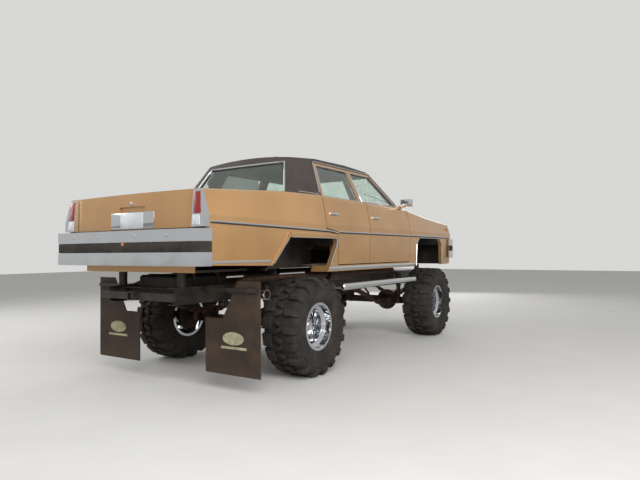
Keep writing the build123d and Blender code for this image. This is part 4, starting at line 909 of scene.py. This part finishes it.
for side, hand in SIDES:
    centre = (side * OVAL_X, OVAL_Y, OVAL_Z)
    oval = rod(centre, OVAL_RADIUS, 0.003, "Y", 48)
    bpy.ops.transform.resize(value=(1, 1, OVAL_FLATNESS), center_override=centre)
    finished(oval, f"flap_oval_{hand}", "flap_rubber", finish=FADED_PRINT)
    bar = block((side * 0.640, 2.209, 0.374), (side * 0.930, 2.212, 0.396), 0.001)
    finished(bar, f"flap_bar_{hand}", "flap_rubber", finish=FADED_PRINT)
    clamp = block((side * 0.842, 2.1965, 0.900), (side * 1.054, 2.2005, 0.940), 0.001)
    bolts = [rod((side * x, 2.1955, 0.920), 0.008, 0.006, "Y", 6) for x in CLAMP_BOLTS_X]
    finished(joined(clamp, *bolts), f"flap_clamp_{hand}", "spring_steel")
print("flap ovals at z", OVAL_Z)

# %% [markdown]
# ## Vinyl roof's seams and foot
#
# The padded cover is sewn from three widths, so two raised welts run lengthwise. They are beads in
# the cover's own vinyl. A bright strip ends it at the foot of each rear pillar.

# %% Welts and foot strips
WELT_X, FOOT_Z = 0.360, 1.812


def on_top(node, run, out=0.0):
    """The run's (x, y) points, laid on top of a node."""
    height = met(node, [((x, y, 4), (0, 0, -1)) for x, y in run], 2)
    return [Vector((x, y, z + out)) for z, (x, y) in zip(height, run)]


for side, hand in SIDES:
    run = on_top("roof", [(side * WELT_X, y) for y in spread(-0.480, 1.080, 0.05)])
    finished(bead(run, 0.0045), f"roof_welt_{hand}", "vinyl_roof")
    run = on_side("roof", [(y, FOOT_Z) for y in spread(0.945, 1.290, 0.05)], side, 0.005)
    finished(bead(run, 0.0075), f"vinyl_foot_{hand}", "chrome")
print("roof welts at x", WELT_X)

# %% [markdown]
# ## The nose
#
# Each headlamp bezel holds two rectangular sealed lamps with ribbed glass. A bright strip runs down
# the middle of the hood, amber markers sit at the corners, and two wipers rest on the windscreen.

# %% Lamps, markers and hood strip
HEADLAMPS_X, HEADLAMP_WIDE = (0.4235, 0.6260), 0.1775
MARKER_Z = 1.520

for side, hand in SIDES:
    for k, x in enumerate(HEADLAMPS_X, 1):
        lens = block((side * x, -2.7115, 1.4165), (side * (x + HEADLAMP_WIDE), -2.6975, 1.5535),
                     0.006)
        finished(lens, f"headlamp_lens_{k}_{hand}", "lamp_lens", finish=CLEAR)
    spots = on_side("wings", [(-2.640, MARKER_Z), (-2.560, MARKER_Z)], side, 0.002)
    marker = ribbon(spots, (0, 0, 0.045), 0.008, width=0.003)
    finished(marker, f"side_marker_{hand}", "lamp_lens", finish=AMBER)
strip = bead(on_top("hood", [(0.0, y) for y in spread(-2.630, -1.190)], 0.002), 0.005)
finished(strip, "hood_strip", "chrome", "hood_lid")
print("headlamps:", len(SIDES) * len(HEADLAMPS_X))

# %% Wipers
WIPER_RADIUS = 0.004

for side, hand in SIDES:
    pivot, hook = side * 0.30, side * 0.30 - 0.26
    run = [(pivot, 1.815), (pivot - 0.13, 1.87), (hook, 1.93)]
    arm = bead(on_end("fixed_glass", run, -1, 0.012), WIPER_RADIUS)
    run = [(pivot - 0.44, 1.845), (hook, 1.93), (hook + 0.16, 1.99)]
    blade = bead(on_end("fixed_glass", run, -1, 0.006), WIPER_RADIUS)
    finished(joined(arm, blade), f"wiper_{hand}", "frame_black")
print("wiper arms and blades are", 2 * WIPER_RADIUS / MM, "mm thick")

# %% [markdown]
# ## Exhaust tips and U-bolts
#
# Each tail pipe leaves at its side under the rear corner and ends in a polished sleeve. U-bolts
# clamp each axle to its springs.

# %% Sleeves and U-bolts
SPRING_X, BOLT_GAP, BOLT_HALF = 0.400, 0.044, 0.040
BOLT_FOOT, BOLT_TOP, BOLT_RADIUS = 0.420, 0.622, 0.0075

for side, hand in SIDES:
    tip = sleeve((side * 1.058, 2.150, 0.850), 0.0402, 0.101, "X", 0.0035)
    finished(tip, f"exhaust_sleeve_{hand}", "chrome")
for wheel, side, y in WHEELS:
    near, far = side * (SPRING_X - BOLT_HALF), side * (SPRING_X + BOLT_HALF)
    shape = [(near, BOLT_FOOT), (near, BOLT_TOP), (far, BOLT_TOP), (far, BOLT_FOOT)]
    bolts = [bead([(x, y + step, z) for x, z in shape], BOLT_RADIUS)
             for step in (-BOLT_GAP, BOLT_GAP)]
    finished(joined(*bolts), f"u_bolts_{wheel}", "spring_steel")
print("U-bolts at x", SPRING_X)

# %% [markdown]
# ## Benches
#
# Each bench cushion starts as a rounded block a little smaller than the space it fills. Cloth with
# pressure inside swells it, no point moves further than the cap, and its foot stays flat on the
# frame. The benches are 1.3 m wide, so a 16 mm voxel keeps them light. The sewn channels are
# pressed in last, because the remesh would wipe out any line narrower than a voxel.

# %% Sizes of the benches
BENCHES = [  # name, half width, side outline as (y, z) from the foot's front corner
    ("front_cushion", 0.640,
     [(-0.420, 1.2303), (0.140, 1.2303), (0.140, 1.3803), (-0.420, 1.3803)]),
    ("front_backrest", 0.640,
     [(0.020, 1.3806), (0.150, 1.3806), (0.250, 1.8803), (0.150, 1.8803)]),
    ("rear_cushion", 0.552,
     [(0.540, 1.2303), (1.080, 1.2303), (1.080, 1.3903), (0.540, 1.3903)]),
    ("rear_backrest", 0.552,
     [(0.940, 1.3906), (1.070, 1.3906), (1.160, 1.8603), (1.060, 1.8603)])]
SHRINK, BENCH_ROUND, BENCH_VOXEL = 0.014, 0.034, 0.016
SWELL_CAP, SIDE_SWELL, PRESSURE, CLOTH_FRAMES = 0.022, 0.004, 4.0, 20
CHANNEL_PITCH, CHANNEL_DEEP, CHANNEL_WIDE = 0.142, 0.009, 0.012
print("benches:", len(BENCHES))


# %% Block and cloth
def bench_block(half, outline):
    """A rounded block inset from the outline on every side but its foot."""
    mid_y = sum(y for y, z in outline) / len(outline)
    mid_z = sum(z for y, z in outline) / len(outline)
    inset = [(y + (SHRINK if y < mid_y else -SHRINK), z if z < mid_z else z - SHRINK)
             for y, z in outline]
    obj = plate([(SHRINK - half, y, z) for y, z in inset], (2 * (half - SHRINK), 0, 0), 0.0)
    rounded(obj, BENCH_ROUND, 4)
    obj.data.remesh_voxel_size = BENCH_VOXEL
    bpy.ops.object.voxel_remesh()
    return obj


def swell(obj, floor_z):
    """Frames of cloth with pressure inside, capped, its foot kept flat."""
    cloth = obj.modifiers.new("Cloth", "CLOTH")
    cloth.settings.use_pressure = True
    cloth.settings.uniform_pressure_force = PRESSURE
    cloth.settings.effector_weights.gravity = 0.0
    cloth.point_cache.frame_end = CLOTH_FRAMES
    rest = [vertex.co.copy() for vertex in obj.data.vertices]
    for frame_number in range(1, CLOTH_FRAMES + 1):
        bpy.context.scene.frame_set(frame_number)
    puffed = obj.evaluated_get(bpy.context.evaluated_depsgraph_get())
    moved = [vertex.co.copy() for vertex in puffed.data.vertices]
    obj.modifiers.remove(cloth)
    bpy.context.scene.frame_set(1)
    for vertex, old, new in zip(obj.data.vertices, rest, moved):
        step = new - old
        step.length = min(step.length, SWELL_CAP)
        vertex.co = old + step
        vertex.co.z = max(vertex.co.z, floor_z)


print("cloth runs for", CLOTH_FRAMES, "frames and swells up to", SWELL_CAP, "m")


# %% Press the channels and finish
def press_channels(obj):
    """Sewn lines from front to back, evenly spaced across the bench."""
    outward = [vertex.normal.copy() for vertex in obj.data.vertices]
    for vertex, normal in zip(obj.data.vertices, outward):
        gap = (vertex.co.x / CHANNEL_PITCH) % 1.0
        gap = min(gap, 1.0 - gap) * CHANNEL_PITCH
        vertex.co -= normal * CHANNEL_DEEP * max(0.0, 1.0 - (gap / CHANNEL_WIDE) ** 2)


for name, half, outline in BENCHES:
    bench, floor_z = bench_block(half, outline), outline[0][1]
    swell(bench, floor_z)
    detail = bench.modifiers.new("Subdivision", "SUBSURF")
    detail.levels = detail.render_levels = 1
    only(bench)
    bpy.ops.object.modifier_apply(modifier="Subdivision")
    press_channels(bench)
    reach = half + SIDE_SWELL
    for vertex in bench.data.vertices:
        vertex.co.z = max(vertex.co.z, floor_z)
        vertex.co.x = max(-reach, min(reach, vertex.co.x))
    bench = finished(bench, name, "seat_cloth", smooth=80)
    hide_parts("seats")
    print(name, "triangles:", 2 * len(bench.data.polygons))

# %% [markdown]
# ## Dashboard
#
# A raised strip crosses the dashboard, with a bright line above and below it, the rims of two round
# gauges in front of the driver and a glove box lid on the other side.

# %% Strip, gauges and glove box
DASH_HALF, LINE_Y = 0.700, -0.857
GAUGES_X = (0.295, 0.445)

strip = block((-DASH_HALF, -0.8585, 1.545), (DASH_HALF, -0.8555, 1.600), 0.001)
finished(strip, "dash_strip", "dash_plastic")
for k, z in enumerate((1.541, 1.604), 1):
    run = [(x, LINE_Y, z) for x in (-DASH_HALF, 0.0, DASH_HALF)]
    finished(bead(run, 0.0022), f"dash_line_{k}", "chrome")
for k, x in enumerate(GAUGES_X, 1):
    finished(sleeve((x, -0.853, 1.572), 0.045, 0.012, "Y", 0.004), f"gauge_{k}", "chrome")
glove = block((-0.620, -0.8590, 1.475), (-0.260, -0.8550, 1.532), 0.002)
finished(glove, "glove_box", "dash_plastic")
print("gauges:", len(GAUGES_X))

# %% [markdown]
# ## Door cards and carpet
#
# Inside, each door has a card in two halves, velour above and moulded vinyl below, with an armrest
# and a plated pull. Pile carpet covers the cabin floor and a rubber mat the boot's.

# %% Cards, armrests and mats
CARDS = {"front": (-0.900, 0.000), "rear": (0.225, 0.742)}  # ends of each door's card
CARD_PARTS = [  # part, foot, top, slot
    ("cloth", 1.436, 1.742, "seat_cloth"),
    ("vinyl", 1.100, 1.426, "dash_plastic")]
CARD_FACE, CARD_THICK, REST_DEEP = 0.8396, 0.007, 0.048

for side, hand in SIDES:
    for end, (low, high) in CARDS.items():
        body, inner = f"{end}_{hand}_door", CARD_FACE - CARD_THICK
        for part, foot, top, slot in CARD_PARTS:
            card = block((side * inner, low, foot), (side * CARD_FACE, high, top), 0.003)
            finished(card, f"door_card_{part}_{end}_{hand}", slot, body)
        rest = block((side * (inner - REST_DEEP), low + 0.12, 1.440),
                     (side * inner, high - 0.10, 1.482), 0.012)
        finished(rest, f"armrest_{end}_{hand}", "dash_plastic", body)
        pull = rod((side * (inner - 0.010), low + 0.10, 1.600), 0.007, 0.090, "Y", 16, 0.002)
        finished(pull, f"inside_pull_{end}_{hand}", "chrome", body)
carpet = block((-0.725, -0.990, 1.0602), (0.725, 0.930, 1.0660), 0.001)
finished(carpet, "cabin_carpet", "seat_cloth")
mat = block((-0.545, 1.190, 1.0602), (0.545, 2.570, 1.0640), 0.001)
finished(mat, "boot_mat", "flap_rubber")
print("door cards:", len(SIDES) * len(CARDS))

# %% [markdown]
# ## Floor and light
#
# A plain pale floor and large soft lamps show the car without drama. The world lights the shadows,
# and its brighter version is seen only by the camera, by mirrors and through glass.

# %% Floor and lamps
SPECKLE_MM = 500.0
MIDDLE = (0, 0, 1.2)
LAMPS = [  # name, place, size, watts
    ("key_lamp", (-6.5, 6.0, 5.0), (7, 5), 780),
    ("fill_lamp", (7.0, 3.0, 5.0), (6, 4), 260),
    ("nose_lamp", (3.5, -8.5, 3.2), (7, 5), 210)]

only()
bpy.ops.mesh.primitive_plane_add(size=60.0, location=(0, 0, cad_box[0][2]))
floor = bpy.context.object
floor.name = "floor"
pale, tree, shader, place = new_finish("pale_floor", Roughness=0.9)
speckle = add_node(tree, "ShaderNodeTexNoise", {"Vector": place, "Scale": scale_of(SPECKLE_MM)})
two_tone(tree, shader, speckle.outputs["Fac"], "#C9C8C5", "#D2D1CE")
floor.data.materials.append(pale)
for name, spot, size, watts in LAMPS:
    bpy.ops.object.light_add(type="AREA", location=spot)
    lamp = bpy.context.object
    lamp.name = name
    lamp.data.shape = "RECTANGLE"
    lamp.data.size, lamp.data.size_y = size
    lamp.data.energy = watts
    lamp.rotation_euler = (Vector(MIDDLE) - Vector(spot)).to_track_quat("-Z", "Y").to_euler()
print("lamps:", len(LAMPS), "on a floor at z", round(floor.location.z, 4))

# %% World and view
SHADOW_LIGHT, SEEN_LIGHT = 0.55, 0.8

world = bpy.data.worlds.new("studio")
bpy.context.scene.world = world
world.use_nodes = True
sky = world.node_tree
back = sky.nodes["Background"]
path = add_node(sky, "ShaderNodeLightPath")
seen = path.outputs["Is Camera Ray"]
for ray in ("Is Glossy Ray", "Is Transmission Ray"):
    seen = add_node(sky, "ShaderNodeMath", {0: seen, 1: path.outputs[ray]},
                    operation="MAXIMUM").outputs[0]
level = add_node(sky, "ShaderNodeMapRange", {
    "Value": seen, "To Min": SHADOW_LIGHT, "To Max": SEEN_LIGHT})
sky.links.new(level.outputs[0], back.inputs["Strength"])
back.inputs["Color"].default_value = linear("#EEEEEC")
bpy.context.scene.view_settings.view_transform = "Standard"
print("world strength:", SHADOW_LIGHT, "in the shadows,", SEEN_LIGHT, "where it is seen")

# %% [markdown]
# ## The end
#
# The dressed car has to stay as large as its frame, whose box was kept when the frame was loaded.

# %% Finish
print("scene dressed")
